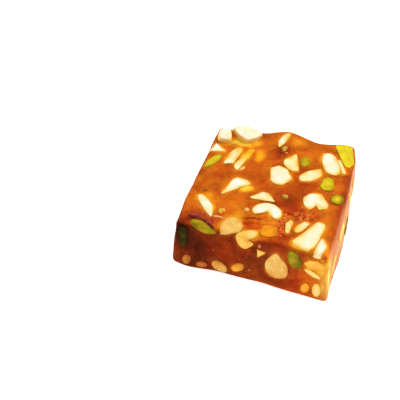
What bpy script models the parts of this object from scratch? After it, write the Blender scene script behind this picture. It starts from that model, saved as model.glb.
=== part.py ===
"""Dry fruit halwa: one hand-cut square of set amber halwa with chopped nuts in it.

Metres, +Z up. The origin is under the middle of the square, on the surface that it
rests on. +X runs to the right along the front cut face and +Y runs to the back.
"""

import math
from dataclasses import dataclass

import bmesh
import bpy
from mathutils import Matrix, Vector, noise
from mathutils.bvhtree import BVHTree

OBJECT_NAME = "dry_fruit_halwa"

# The square that the knife aimed at
HALF_WIDTH = 0.0300
HALF_DEPTH = 0.0320
THICKNESS = 0.0225
EDGE_RADIUS = 0.0017
LINE_STEP = 0.0084  # between the lines that divide its faces

# Where its corners really are: (left or right, front or back, foot or top)
CORNERS = {
    (-1, -1, 0): (-0.0317, -0.0324, 0.0),
    (1, -1, 0): (0.0323, -0.0354, 0.0),
    (1, 1, 0): (0.0304, 0.0351, 0.0),
    (-1, 1, 0): (-0.0312, 0.0312, 0.0),
    (-1, -1, 1): (-0.0304, -0.0311, 0.0214),
    (1, -1, 1): (0.0296, -0.0334, 0.0246),
    (1, 1, 1): (0.0287, 0.0321, 0.0244),
    (-1, 1, 1): (-0.0303, 0.0284, 0.0217),
}


@dataclass(frozen=True)
class Swell:
    """A soft swell or dip of the set halwa: a push that fades away from its middle."""

    middle: tuple
    reach: float
    push: tuple


SWELLS = (
    # the right-hand face bellies out along its top edge
    Swell(middle=(0.0295, 0.0040, 0.0220), reach=0.0200, push=(0.0012, 0.0, 0.0)),
    # the left-hand face bellies out a little
    Swell(middle=(-0.0305, -0.0040, 0.0200), reach=0.0160, push=(-0.0005, 0.0, 0.0)),
    # the foot of the right-hand face
    Swell(middle=(0.0318, -0.0080, 0.0), reach=0.0150, push=(0.0010, 0.0, 0.0)),
    # the foot of the front face, towards its left corner
    Swell(middle=(-0.0250, -0.0320, 0.0), reach=0.0085, push=(0.0, -0.0022, 0.0)),
    # a hump over a nut at the back edge, and the dip beside it
    Swell(middle=(0.0000, 0.0300, 0.0230), reach=0.0070, push=(0.0, 0.0010, 0.0016)),
    Swell(middle=(0.0150, 0.0310, 0.0240), reach=0.0060, push=(0.0, -0.0008, -0.0008)),
    # the blunt back corner
    Swell(middle=(0.0290, 0.0310, 0.0240), reach=0.0060, push=(-0.0010, -0.0010, 0.0)),
    # the slanting chip off the front edge
    Swell(middle=(-0.0080, -0.0330, 0.0215), reach=0.0100, push=(0.0, 0.0018, -0.0016)),
)

# The faint waves of its faces
WAVE_LENGTH = 0.0130
WAVE_HEIGHT = 0.0006
WAVE_OFFSETS = (Vector((5.2, 1.3, 0.0)), Vector((0.0, 7.1, 3.9)), Vector((2.6, 0.0, 8.4)))

# The chopped nuts
PROUD = 0.00025  # how far a sliced nut stands out of the face that it lies in
GAP = 0.0003  # between a nut and the halwa round it
NUT_SEGMENTS = 10
NUT_RINGS = 5
DEPTH_SHARE = 0.30  # depth of a nut under its face, for the mean of its length and width
SINK_SHARE = 0.12  # of that depth, how far its widest outline lies under the face
UNCUT_RISE = 0.0030  # how far a nut reached out of its face before the knife came
CROWN_CUT = 1.7  # how much steeper than a ball's the sides of a nut are, up to its flat top
NOTCH_WIDTH = 0.32  # of half its length, how wide the notch in a nut is
FOOT_GAP = 0.0002  # from the surface that the square rests on up to the nuts

COLOURS = {
    "cashew": (0.93, 0.80, 0.56),
    "almond": (0.82, 0.58, 0.26),
    "pistachio": (0.42, 0.40, 0.05),
}
HALWA_COLOUR = (0.55, 0.17, 0.03)

# Each face of the square: the way to its right and the way up it, seen from outside
SLANT = math.sqrt(0.5)
FACES = {
    "top": (Vector((1.0, 0.0, 0.0)), Vector((0.0, 1.0, 0.0))),
    "edge": (Vector((1.0, 0.0, 0.0)), Vector((0.0, SLANT, SLANT))),
    "front": (Vector((1.0, 0.0, 0.0)), Vector((0.0, 0.0, 1.0))),
    "right": (Vector((0.0, 1.0, 0.0)), Vector((0.0, 0.0, 1.0))),
    "back": (Vector((-1.0, 0.0, 0.0)), Vector((0.0, 0.0, 1.0))),
    "left": (Vector((0.0, -1.0, 0.0)), Vector((0.0, 0.0, 1.0))),
}


@dataclass(frozen=True)
class Nut:
    """A chopped nut and how it lies in a face of the square.

    The first word of its name is its kind. Its place is measured to the right and up
    the face from the origin, and its turn is that of its length from the face's right.
    """

    name: str
    face: str
    right: float
    up: float
    length: float
    width: float
    turn: float = 0.0
    bend: float = 0.0  # degrees that it curls from end to end
    taper: float = 0.0  # fatter towards its far end, or towards its near end if below 0
    tip: float = 0.0  # how pointed the far end is, or how blunt if below 0
    tail: float = 0.0  # the same for the near end
    flat: float = 0.0  # how much of its right-hand side the knife took off
    notch: float = 0.0  # how deep a notch its right-hand side has
    cleft: float = NOTCH_WIDTH  # how wide the notch is, for half of its length
    rise: float = 0.0  # height above the face, for a nut that the knife missed
    chops: tuple = ()  # chopped sides: (direction on the face, distance from its place)

    @property
    def depth(self):
        """How far it reaches under its widest outline."""
        return DEPTH_SHARE * math.sqrt(self.length * self.width)


NUTS = (
    # on the top, from the back to the front
    Nut("cashew_round", "top", -0.0257, 0.0217, 0.0088, 0.0076, turn=95, rise=0.0028,
        chops=((180, 0.0030), (140, 0.0033), (72, 0.0030), (19, 0.0023), (-91, 0.0034))),
    Nut("cashew_long", "top", -0.0174, 0.0250, 0.0154, 0.0106, rise=0.0028,
        chops=((118, 0.0049), (68, 0.0041), (-31, 0.0053), (-50, 0.0048), (-119, 0.0035),
               (-138, 0.0038))),
    Nut("cashew_triangle", "top", -0.0271, 0.0138, 0.0088, 0.0074,
        chops=((162, 0.0021), (55, 0.0017), (-79, 0.0017))),
    Nut("pistachio_sliver", "top", -0.0267, 0.0062, 0.0104, 0.0038, turn=66, tip=0.1),
    Nut("cashew_slice", "top", -0.0191, 0.0115, 0.0142, 0.0066, turn=74, tip=-0.2, tail=-0.2,
        chops=((172, 0.0022), (154, 0.0024), (107, 0.0053), (16, 0.0037), (-13, 0.0021),
               (-73, 0.0048))),
    Nut("cashew_strip", "top", -0.0153, 0.0080, 0.0098, 0.0036, turn=75,
        chops=((158, 0.0015), (94, 0.0040), (-18, 0.0013), (-143, 0.0033))),
    Nut("cashew_stick", "top", -0.0015, 0.0252, 0.0088, 0.0030, turn=72, bend=25),
    Nut("cashew_horned", "top", 0.0052, 0.0126, 0.0144, 0.0100, turn=100,
        chops=((143, 0.0036), (-172, 0.0035), (-136, 0.0032), (-117, 0.0036), (-79, 0.0049),
               (17, 0.0026))),
    Nut("cashew_lump", "top", 0.0022, 0.0044, 0.0130, 0.0106, turn=110, tip=-0.2, tail=-0.2,
        chops=((-166, 0.0038), (132, 0.0056), (68, 0.0046), (30, 0.0040), (-10, 0.0051),
               (-40, 0.0053), (-89, 0.0054), (-122, 0.0049))),
    Nut("cashew_boat", "top", 0.0144, 0.0078, 0.0114, 0.0058, turn=226, tip=0.1,
        chops=((14, 0.0044),)),
    Nut("cashew_oval", "top", 0.0207, 0.0164, 0.0142, 0.0070, turn=114,
        chops=((-87, 0.0062), (26, 0.0029))),
    Nut("cashew_flake", "top", 0.0251, 0.0157, 0.0084, 0.0036, turn=116,
        chops=((206, 0.0007), (27, 0.0007))),
    Nut("pistachio_corner", "top", 0.0252, 0.0239, 0.0172, 0.0098, turn=108,
        chops=((117, 0.0068), (91, 0.0067), (14, 0.0032), (-22, 0.0058), (-111, 0.0066),
               (-153, 0.0026))),
    Nut("pistachio_block", "top", 0.0216, 0.0043, 0.0096, 0.0066, turn=92, tip=-0.3, tail=-0.3,
        chops=((178, 0.0024), (128, 0.0037), (70, 0.0037), (9, 0.0024), (-30, 0.0033),
               (-78, 0.0037), (-138, 0.0032))),
    Nut("pistachio_ring", "top", 0.0271, -0.0032, 0.0056, 0.0052, turn=50),
    Nut("pistachio_bean", "top", 0.0101, 0.0152, 0.0058, 0.0043, turn=95,
        chops=((-160, 0.0019),)),
    Nut("cashew_wing", "top", -0.0135, -0.0054, 0.0178, 0.0102, turn=59, notch=0.62,
        chops=((167, 0.0026), (143, 0.0034), (84, 0.0045), (58, 0.0050), (-48, 0.0024))),
    Nut("cashew_half_moon", "top", -0.0010, -0.0093, 0.0114, 0.0066,
        chops=((133, 0.0027), (86, 0.0027), (44, 0.0027), (-88, 0.0018))),
    Nut("cashew_crescent", "top", 0.0027, -0.0149, 0.0138, 0.0055, turn=-7, bend=188,
        notch=0.30, tip=-0.2, tail=-0.2),
    Nut("cashew_kidney", "top", 0.0199, -0.0070, 0.0120, 0.0098, notch=0.65, cleft=0.20,
        chops=((142, 0.0059), (38, 0.0034), (0, 0.0044), (-68, 0.0040), (-137, 0.0052),
               (-159, 0.0054))),
    Nut("cashew_leaf", "top", -0.0214, -0.0192, 0.0134, 0.0038, turn=-51, bend=28, tip=0.5),
    Nut("cashew_chip", "top", 0.0123, -0.0224, 0.0074, 0.0038, turn=92,
        chops=((147, 0.0020), (83, 0.0032), (-1, 0.0010), (-167, 0.0013))),
    Nut("cashew_petal", "top", 0.0171, -0.0215, 0.0076, 0.0033, turn=60,
        chops=((86, 0.0027), (-25, 0.0014))),
    Nut("cashew_big", "top", 0.0214, -0.0259, 0.0184, 0.0126, turn=68, tail=-0.2,
        chops=((150, 0.0035), (79, 0.0092), (18, 0.0062), (-8, 0.0033), (-37, 0.0049),
               (-93, 0.0070), (-112, 0.0071), (-137, 0.0075))),
    # round the front edge
    Nut("cashew_cap", "top", 0.0261, -0.0301, 0.0112, 0.0054, turn=82,
        chops=((175, 0.0015), (163, 0.0019), (35, 0.0026), (-12, 0.0017))),
    Nut("pistachio_long", "edge", -0.0196, -0.0066, 0.0120, 0.0052, turn=-15,
        chops=((173, 0.0051), (92, 0.0023), (66, 0.0018), (-80, 0.0026), (-105, 0.0018),
               (-125, 0.0023))),
    Nut("almond_block", "edge", -0.0092, -0.0037, 0.0110, 0.0108, tip=-0.2, tail=-0.2,
        chops=((163, 0.0038), (109, 0.0034), (80, 0.0035), (36, 0.0042), (-18, 0.0040),
               (-61, 0.0030), (-76, 0.0033), (-167, 0.0038))),
    Nut("cashew_hook", "edge", -0.0021, -0.0075, 0.0110, 0.0108, turn=90, notch=0.80,
        chops=((177, 0.0041), (127, 0.0036), (106, 0.0036), (88, 0.0043), (5, 0.0045),
               (-49, 0.0032), (-92, 0.0037), (-133, 0.0038), (-152, 0.0037))),
    Nut("cashew_gold", "edge", 0.0057, -0.0023, 0.0084, 0.0060,
        chops=((175, 0.0032), (113, 0.0025), (70, 0.0028), (20, 0.0032), (-49, 0.0027),
               (-83, 0.0023), (-133, 0.0030))),
    # on the front
    Nut("almond_drop", "front", 0.0110, 0.0126, 0.0130, 0.0090, turn=96, tip=0.7, tail=-0.2,
        taper=-0.15),
    Nut("pistachio_stub", "front", 0.0176, 0.0189, 0.0092, 0.0053, turn=112, taper=-0.2),
    Nut("cashew_pair", "front", 0.0253, 0.0189, 0.0092, 0.0060, notch=0.2,
        chops=((139, 0.0029), (104, 0.0022), (67, 0.0025), (7, 0.0037), (-59, 0.0025),
               (-150, 0.0035))),
    Nut("cashew_splinter", "front", 0.0251, 0.0142, 0.0074, 0.0025, turn=-28),
    Nut("cashew_tooth", "front", 0.0274, 0.0060, 0.0070, 0.0033, turn=94),
    Nut("cashew_nib", "front", 0.0230, 0.0055, 0.0052, 0.0032, turn=80),
    Nut("cashew_foot_left", "front", -0.0249, 0.0044, 0.0046, 0.0034, turn=68),
    Nut("cashew_foot_low", "front", -0.0185, 0.0035, 0.0046, 0.0026, turn=8),
    Nut("almond_foot", "front", -0.0114, 0.0042, 0.0072, 0.0048, turn=-36),
    Nut("cashew_foot_right", "front", -0.0041, 0.0064, 0.0062, 0.0037, turn=45),
    Nut("pistachio_upright", "front", -0.0269, 0.0147, 0.0114, 0.0037, turn=91,
        chops=((89, 0.0052),)),
    # on the right-hand face
    Nut("cashew_right_front", "right", -0.0230, 0.0090, 0.0090, 0.0056, turn=25,
        chops=((120, 0.0024), (-60, 0.0018))),
    Nut("cashew_right_curl", "right", -0.0095, 0.0145, 0.0120, 0.0046, turn=-15, bend=80),
    Nut("pistachio_right", "right", 0.0020, 0.0060, 0.0080, 0.0050, turn=35,
        chops=((125, 0.0019), (20, 0.0036))),
    Nut("cashew_right_half", "right", 0.0135, 0.0125, 0.0114, 0.0066, turn=160,
        chops=((70, 0.0018), (10, 0.0050))),
    Nut("almond_right", "right", 0.0245, 0.0070, 0.0090, 0.0060, turn=70, tip=0.5),
    # on the back
    Nut("cashew_back_curl", "back", -0.0200, 0.0110, 0.0125, 0.0054, turn=60, bend=70),
    Nut("pistachio_back", "back", -0.0095, 0.0060, 0.0085, 0.0052, turn=15,
        chops=((105, 0.0018), (-170, 0.0038))),
    Nut("almond_back", "back", 0.0020, 0.0110, 0.0120, 0.0078, turn=110, tip=0.6, tail=-0.2),
    Nut("cashew_back_half", "back", 0.0135, 0.0060, 0.0108, 0.0060, turn=10,
        chops=((100, 0.0026), (-78, 0.0018))),
    Nut("pistachio_back_high", "back", 0.0120, 0.0155, 0.0065, 0.0040, turn=140),
    Nut("cashew_back_wedge", "back", 0.0225, 0.0135, 0.0094, 0.0058, turn=70,
        chops=((140, 0.0022), (5, 0.0020), (-100, 0.0038))),
    # on the left-hand face
    Nut("cashew_left_curl", "left", -0.0180, 0.0115, 0.0125, 0.0050, turn=30, bend=60),
    Nut("pistachio_left", "left", -0.0060, 0.0065, 0.0080, 0.0048, turn=150,
        chops=((60, 0.0018), (-160, 0.0034))),
    Nut("cashew_left_half", "left", 0.0050, 0.0135, 0.0104, 0.0066, turn=100,
        chops=((12, 0.0015), (95, 0.0046))),
    Nut("cashew_left_drop", "left", 0.0150, 0.0060, 0.0090, 0.0044, turn=20, tip=0.5),
    Nut("almond_left", "left", 0.0235, 0.0120, 0.0095, 0.0058, turn=75, tip=0.3),
)


def cut_lines(half):
    """Places of the lines across one side: closer together over its rounded edges."""
    inner = half - EDGE_RADIUS
    steps = max(1, round(2.0 * inner / LINE_STEP))
    even = [-inner + 2.0 * inner * step / steps for step in range(steps + 1)]
    outer = half - EDGE_RADIUS * 0.4
    return [-outer, *even, outer]


def rounded(point, half, grow):
    """A point of the square's box moved onto its rounded edges, and out by grow."""
    inner = Vector(
        max(EDGE_RADIUS - side, min(side - EDGE_RADIUS, value))
        for value, side in zip(point, half)
    )
    return inner + (point - inner).normalized() * (EDGE_RADIUS + grow)


def between_corners(point):
    """A point of the true square carried to its place between the real corners."""
    share = Vector((point.x / HALF_WIDTH, point.y / HALF_DEPTH, point.z / THICKNESS + 0.5))
    place = Vector()
    for (side_x, side_y, top), corner in CORNERS.items():
        weight = (1.0 + side_x * share.x) * (1.0 + side_y * share.y) / 4.0
        weight *= share.z if top else 1.0 - share.z
        place += Vector(corner) * weight
    return place


def hand_cut(point, half, grow=0.0):
    """Where a point of the square's box lies on the real, uneven square."""
    place = between_corners(rounded(point, half, grow))
    height = max(0.0, place.z) / THICKNESS
    waves = (noise.noise(place / WAVE_LENGTH + offset) for offset in WAVE_OFFSETS)
    shift = Vector(waves) * WAVE_HEIGHT
    for swell in SWELLS:
        far = (place - Vector(swell.middle)).length / swell.reach
        shift += Vector(swell.push) * math.exp(-far * far)
    shift.z *= height
    return place + shift


def square_mesh(grow=0.0):
    """The square as a closed bmesh, with its faces moved out by grow."""
    half = (HALF_WIDTH, HALF_DEPTH, THICKNESS / 2.0)
    bm = bmesh.new()
    bmesh.ops.create_cube(bm, size=2.0, matrix=Matrix.Diagonal((*half, 1.0)))
    for axis, side in enumerate(half):
        normal = Vector((0.0, 0.0, 0.0))
        normal[axis] = 1.0
        for line in cut_lines(side):
            everything = bm.verts[:] + bm.edges[:] + bm.faces[:]
            bmesh.ops.bisect_plane(bm, geom=everything, plane_co=normal * line, plane_no=normal)
    for vert in bm.verts:
        vert.co = hand_cut(vert.co, half, grow)
        if grow:
            vert.co.z = max(vert.co.z, FOOT_GAP)
    return bm


def nut_point(nut, ball):
    """Where a point of the unit ball lies on the nut, in the nut's own axes.

    X runs along its length, Y to its left and Z out of the face.
    """
    sharpness = nut.tip if ball.x > 0.0 else nut.tail
    slim = (1.0 + nut.taper * ball.x) * (1.0 - sharpness * ball.x**2)
    side = 1.0 / (2.0 - nut.flat)
    if ball.y < 0.0:
        side = (1.0 - side) * (1.0 - nut.notch * math.exp(-((ball.x / nut.cleft) ** 2)))
    if ball.z < 0.0:
        outward = slim * nut.depth * ball.z
    else:
        outward = slim * (nut.rise or UNCUT_RISE) * min(1.0, CROWN_CUT * ball.z)
    along = ball.x * nut.length / 2.0
    across = ball.y * slim * side * nut.width
    if nut.bend:
        radius = nut.length / math.radians(nut.bend)
        angle = along / radius
        along = (radius + across) * math.sin(angle)
        across = (radius + across) * math.cos(angle) - radius
    share = 1.0
    for direction, distance in nut.chops:
        angle = math.radians(direction - nut.turn)
        reach = along * math.cos(angle) + across * math.sin(angle)
        share = min(share, distance / max(reach, distance))
    return Vector((along * share, across * share, outward))


def nut_mesh(nut, grow=0.0):
    """The whole nut as a closed bmesh, in its own axes, with its skin moved out by grow."""
    bm = bmesh.new()
    spin = Matrix.Rotation(math.pi / NUT_SEGMENTS if nut.notch else 0.0, 4, "Z")
    bmesh.ops.create_uvsphere(
        bm, u_segments=NUT_SEGMENTS, v_segments=NUT_RINGS, radius=1.0, matrix=spin
    )
    for vert in bm.verts:
        vert.co = nut_point(nut, vert.co)
    bmesh.ops.triangulate(bm, faces=bm.faces[:])
    bm.normal_update()
    ways = [vert.normal * vert.calc_shell_factor() for vert in bm.verts]
    for vert, way in zip(bm.verts, ways):
        vert.co += way * grow
    return bm


def nut_place(nut, square):
    """The nut's matrix: on the square's surface, turned and a little sunk."""
    right, up = FACES[nut.face]
    out = right.cross(up)
    far = out * HALF_DEPTH * 2.0
    surface, *_ = square.ray_cast(right * nut.right + up * nut.up + far, -out)
    sink = 0.0 if nut.rise else SINK_SHARE * nut.depth
    axes = Matrix((right, up, out)).transposed().to_4x4()
    turned = Matrix.Rotation(math.radians(nut.turn), 4, "Z")
    return Matrix.Translation(surface - out * sink) @ axes @ turned


def to_object(bm, name, collection, parent):
    """The bmesh as a new object of the collection, under its parent."""
    mesh = bpy.data.meshes.new(name)
    bm.to_mesh(mesh)
    bm.free()
    mesh.shade_smooth()
    mesh.set_sharp_from_angle(angle=math.radians(40.0))
    obj = bpy.data.objects.new(name, mesh)
    collection.objects.link(obj)
    obj.parent = parent
    return obj


def as_cutter(obj):
    """Hide a cutting shape from the render."""
    obj.hide_render = True
    obj.display_type = "WIRE"
    return obj


def new_material(name, colour, roughness):
    """A plain food material."""
    material = bpy.data.materials.new(name)
    material.use_nodes = True
    shader = material.node_tree.nodes["Principled BSDF"]
    shader.inputs["Base Color"].default_value = (*colour, 1.0)
    shader.inputs["Roughness"].default_value = roughness
    shader.inputs["Metallic"].default_value = 0.0
    return material


def new_collection(name):
    """A new collection of the scene."""
    collection = bpy.data.collections.new(name)
    bpy.context.scene.collection.children.link(collection)
    return collection


def build():
    """Cut the square, slice every nut flush with it, and sink its pocket."""
    for old in list(bpy.data.objects):
        bpy.data.objects.remove(old, do_unlink=True)
    parts = new_collection(OBJECT_NAME)
    pockets = new_collection("pocket_cutters")
    knives = new_collection("knife_cutters")

    root = bpy.data.objects.new("halwa_root", None)
    parts.objects.link(root)

    surface = square_mesh()
    square = BVHTree.FromBMesh(surface)
    halwa = to_object(surface, "halwa", parts, root)
    halwa.data.materials.append(new_material("halwa", HALWA_COLOUR, 0.25))
    knife = as_cutter(to_object(square_mesh(PROUD), "knife", knives, root))

    coats = {kind: new_material(kind, colour, 0.5) for kind, colour in COLOURS.items()}
    for nut in NUTS:
        place = nut_place(nut, square)
        kernel = to_object(nut_mesh(nut), nut.name, parts, root)
        kernel.matrix_basis = place
        kernel.data.materials.append(coats[nut.name.split("_")[0]])
        if not nut.rise:
            flush = kernel.modifiers.new("flush", "BOOLEAN")
            flush.operation = "INTERSECT"
            flush.object = knife
        pocket = as_cutter(to_object(nut_mesh(nut, GAP), nut.name + "_pocket", pockets, root))
        pocket.matrix_basis = place

    sockets = halwa.modifiers.new("pockets", "BOOLEAN")
    sockets.operation = "DIFFERENCE"
    sockets.operand_type = "COLLECTION"
    sockets.collection = pockets
    sockets.use_self = True


if __name__ == "__main__":
    build()
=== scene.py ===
"""The looks of a hand-cut square of dry fruit halwa: set amber jelly with chopped nuts in it.

Metres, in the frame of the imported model, but the tables of nuts, shades and bits are in
millimetres. The origin is under the middle of the square, on the surface that it rests on. +X
runs to the right along the front cut face and +Y to the back.
"""

import logging
import math
from dataclasses import dataclass, field, replace
from enum import Enum
from random import Random
from typing import ClassVar

import bmesh
import bpy
from mathutils import Matrix, Vector, noise
from mathutils.bvhtree import BVHTree
from mathutils.kdtree import KDTree


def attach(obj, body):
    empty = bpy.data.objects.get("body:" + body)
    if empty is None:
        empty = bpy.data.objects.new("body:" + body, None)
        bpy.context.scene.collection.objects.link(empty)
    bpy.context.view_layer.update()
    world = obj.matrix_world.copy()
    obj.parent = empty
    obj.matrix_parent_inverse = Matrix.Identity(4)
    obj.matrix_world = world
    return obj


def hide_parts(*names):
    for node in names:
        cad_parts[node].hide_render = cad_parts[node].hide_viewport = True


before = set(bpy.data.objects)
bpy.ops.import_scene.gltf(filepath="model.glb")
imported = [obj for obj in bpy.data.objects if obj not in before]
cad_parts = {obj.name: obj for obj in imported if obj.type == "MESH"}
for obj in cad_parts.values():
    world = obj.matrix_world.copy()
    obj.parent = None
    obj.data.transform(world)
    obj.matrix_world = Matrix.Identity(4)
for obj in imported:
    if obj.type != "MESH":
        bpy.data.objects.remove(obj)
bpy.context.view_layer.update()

LOG = logging.getLogger("dry_fruit_halwa")
BODY = "root"
MM = 0.001
SLANT = math.sqrt(0.5)
QUARTER_TURN = math.pi / 2.0
NOISE_RANGE = (0.3, 0.7)  # what a noise node's value mostly lies between
SIDE = 0.5  # the most that the way out of a side points up or down

Colour = tuple[float, float, float]
Point = tuple[float, float, float]
Pair = tuple[float, float]


class Face(Enum):
    """A face of the square: the way to its right and the way up it, seen from outside."""

    TOP = ((1.0, 0.0, 0.0), (0.0, 1.0, 0.0))
    EDGE = ((1.0, 0.0, 0.0), (0.0, SLANT, SLANT))
    FRONT = ((1.0, 0.0, 0.0), (0.0, 0.0, 1.0))
    RIGHT = ((0.0, 1.0, 0.0), (0.0, 0.0, 1.0))
    BACK = ((-1.0, 0.0, 0.0), (0.0, 0.0, 1.0))
    LEFT = ((0.0, -1.0, 0.0), (0.0, 0.0, 1.0))

    @property
    def right(self) -> Vector:
        """The way to the right on the face."""
        return Vector(self.value[0])

    @property
    def up(self) -> Vector:
        """The way up the face."""
        return Vector(self.value[1])

    @property
    def out(self) -> Vector:
        """The way out of the face."""
        return self.right.cross(self.up)

    def seat(self, surface: Vector, turn: float, sink: float) -> Matrix:
        """Where a thing in the face lies.

        Args:
            surface: The place of the skin over its middle.
            turn: The degrees from the face's right to its length.
            sink: How far its middle lies under the skin.

        Returns:
            Its place: X along its length, Y to its left and Z out of the face.
        """
        axes = Matrix((self.right, self.up, self.out)).transposed().to_4x4()
        turned = Matrix.Rotation(math.radians(turn), 4, "Z")
        return Matrix.Translation(surface - self.out * sink) @ axes @ turned


TOP, EDGE, FRONT, RIGHT, BACK, LEFT = Face


class Kind(Enum):
    """What a chopped piece is. The value is the first word of its name."""

    CASHEW = "cashew"
    ALMOND = "almond"
    PISTACHIO = "pistachio"


@dataclass(frozen=True)
class Ripple:
    """Soft unevenness that is the same at a place each time."""

    scale: float  # waves to a metre
    height: float
    start: Point = (0.0, 0.0, 0.0)  # which part of the pattern it takes

    def at(self, place: Vector) -> float:
        """Its height at a place."""
        return self.height * noise.noise(place * self.scale + Vector(self.start))


def falloff(far: float, reach: float, power: int = 2) -> float:
    """A share that is 1 at no distance and fades away softly over a reach."""
    return math.exp(-((far / reach) ** power))


def clamped(value: float) -> float:
    """A value held between 0 and 1."""
    return min(1.0, max(0.0, value))


def tree_of(places: list[Vector]) -> KDTree:
    """Make a tree that finds the nearest of some places.

    Args:
        places: The places.

    Returns:
        The tree, which knows each by its number.
    """
    tree = KDTree(len(places))
    for number, place in enumerate(places):
        tree.insert(place, number)
    tree.balance()
    return tree


# ---------------------------------------------------------------------------
# Materials
# ---------------------------------------------------------------------------


@dataclass(frozen=True)
class Pattern:
    """Soft noise over a piece."""

    scale: float  # blotches to a metre
    detail: float = 2.0  # how many finer octaves it holds
    roughness: float = 0.5  # how strong the finer ones are
    warp: float = 0.0  # how far it is folded over itself
    swing: float = 0.0  # how far it moves a value either way
    stretch: Point = (1.0, 1.0, 1.0)  # how much closer together it is along each axis


class Graph:
    """The node tree of one new material, with short ways to add nodes and join them."""

    def __init__(self, name: str) -> None:
        """Start a material that holds one Principled shader.

        Args:
            name: Its name.
        """
        self.material = bpy.data.materials.new(name)
        self.material.use_nodes = True
        self.tree = self.material.node_tree
        self.shader = self.tree.nodes["Principled BSDF"]
        self.output = self.tree.nodes["Material Output"]
        self.place = self.add("ShaderNodeTexCoord").outputs["Object"]

    def add(self, kind: str, **settings: object) -> bpy.types.Node:
        """Add a node.

        Args:
            kind: The node's type.
            settings: Its properties.

        Returns:
            The node.
        """
        node = self.tree.nodes.new(kind)
        for name, value in settings.items():
            setattr(node, name, value)
        return node

    def fill(self, socket: bpy.types.NodeSocket, value: object) -> None:
        """Join a socket to another node's output, or set its own value.

        Args:
            socket: The input to fill.
            value: An output socket, a number or a colour.
        """
        if isinstance(value, bpy.types.NodeSocket):
            self.tree.links.new(value, socket)
        else:
            socket.default_value = value

    def noise(self, pattern: Pattern) -> bpy.types.NodeSocket:
        """Add soft noise over the piece.

        Args:
            pattern: What it is like.

        Returns:
            Its value, around 0.5.
        """
        mapping = self.add("ShaderNodeMapping")
        mapping.inputs["Scale"].default_value = pattern.stretch
        self.fill(mapping.inputs["Vector"], self.place)
        node = self.add("ShaderNodeTexNoise")
        self.fill(node.inputs["Vector"], mapping.outputs["Vector"])
        node.inputs["Scale"].default_value = pattern.scale
        node.inputs["Detail"].default_value = pattern.detail
        node.inputs["Roughness"].default_value = pattern.roughness
        node.inputs["Distortion"].default_value = pattern.warp
        return node.outputs["Fac"]

    def attribute(self, name: str) -> bpy.types.NodeSocket:
        """The value that each of the mesh's points holds under a name."""
        return self.add("ShaderNodeAttribute", attribute_name=name).outputs["Fac"]

    def math(self, operation: str, first: object, second: object = 0.0) -> bpy.types.NodeSocket:
        """Work out a value from two others.

        Args:
            operation: How, as Blender names it.
            first: A socket or number.
            second: A socket or number.

        Returns:
            The result.
        """
        node = self.add("ShaderNodeMath", operation=operation)
        self.fill(node.inputs[0], first)
        self.fill(node.inputs[1], second)
        return node.outputs["Value"]

    def total(self, *values: bpy.types.NodeSocket) -> bpy.types.NodeSocket:
        """Add values up.

        Args:
            values: The sockets.

        Returns:
            Their sum.
        """
        whole = values[0]
        for value in values[1:]:
            whole = self.math("ADD", whole, value)
        return whole

    def spread(self, pattern: Pattern, low: float, high: float) -> bpy.types.NodeSocket:
        """Add noise that runs from low to high.

        Args:
            pattern: The noise.
            low: What its dark blotches become.
            high: What its light ones become.

        Returns:
            The result.
        """
        node = self.add("ShaderNodeMapRange", clamp=False)
        self.fill(node.inputs["Value"], self.noise(pattern))
        node.inputs["From Min"].default_value, node.inputs["From Max"].default_value = NOISE_RANGE
        node.inputs["To Min"].default_value = low
        node.inputs["To Max"].default_value = high
        return node.outputs["Result"]

    def swing(self, pattern: Pattern) -> bpy.types.NodeSocket:
        """Noise that moves a value either way by the pattern's swing."""
        return self.spread(pattern, -pattern.swing, pattern.swing)

    def ridge(self, pattern: Pattern, width: float) -> bpy.types.NodeSocket:
        """Thin lines where noise crosses its middle.

        Args:
            pattern: The noise.
            width: How far from its middle a line reaches.

        Returns:
            A value that is 1 on a line and 0 away from it.
        """
        middle = sum(NOISE_RANGE) / 2.0
        node = self.add("ShaderNodeMapRange")
        away = self.math("ABSOLUTE", self.math("SUBTRACT", self.noise(pattern), middle))
        self.fill(node.inputs["Value"], away)
        node.inputs["From Min"].default_value = width
        node.inputs["From Max"].default_value = 0.0
        return node.outputs["Result"]

    def ramp(self, value: bpy.types.NodeSocket,
             stops: tuple[tuple[float, Colour], ...]) -> bpy.types.NodeSocket:
        """Turn a value into a colour.

        Args:
            value: What chooses the colour, from 0 to 1.
            stops: Each colour and where it lies.

        Returns:
            The colour.
        """
        node = self.add("ShaderNodeValToRGB")
        elements = node.color_ramp.elements
        while len(elements) < len(stops):
            elements.new(1.0)
        for element, (position, colour) in zip(elements, stops):
            element.position = position
            element.color = (*colour, 1.0)
        self.fill(node.inputs["Fac"], value)
        return node.outputs["Color"]

    def mix(self, share: object, first: object, second: object,
            blend: str = "MIX") -> bpy.types.NodeSocket:
        """Blend two colours.

        Args:
            share: How much of the second there is.
            first: A socket or colour.
            second: A socket or colour.
            blend: The way of blending, as Blender names it.

        Returns:
            The blended colour.
        """
        node = self.add("ShaderNodeMix", data_type="RGBA", blend_type=blend)
        colours = [s for s in node.inputs if s.type == "RGBA"]
        self.fill(node.inputs["Factor"], share)
        for socket, value in zip(colours, (first, second)):
            self.fill(socket, (*value, 1.0) if isinstance(value, tuple) else value)
        return next(s for s in node.outputs if s.type == "RGBA")

    def bump(self, height: bpy.types.NodeSocket, strength: float, distance: float) -> None:
        """Give the shader fine relief.

        Args:
            height: The relief, from 0 to 1.
            strength: How strong it is.
            distance: How high 1 stands, in metres.
        """
        node = self.add("ShaderNodeBump")
        node.inputs["Strength"].default_value = strength
        node.inputs["Distance"].default_value = distance
        self.fill(node.inputs["Height"], height)
        self.fill(self.shader.inputs["Normal"], node.outputs["Normal"])

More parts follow.
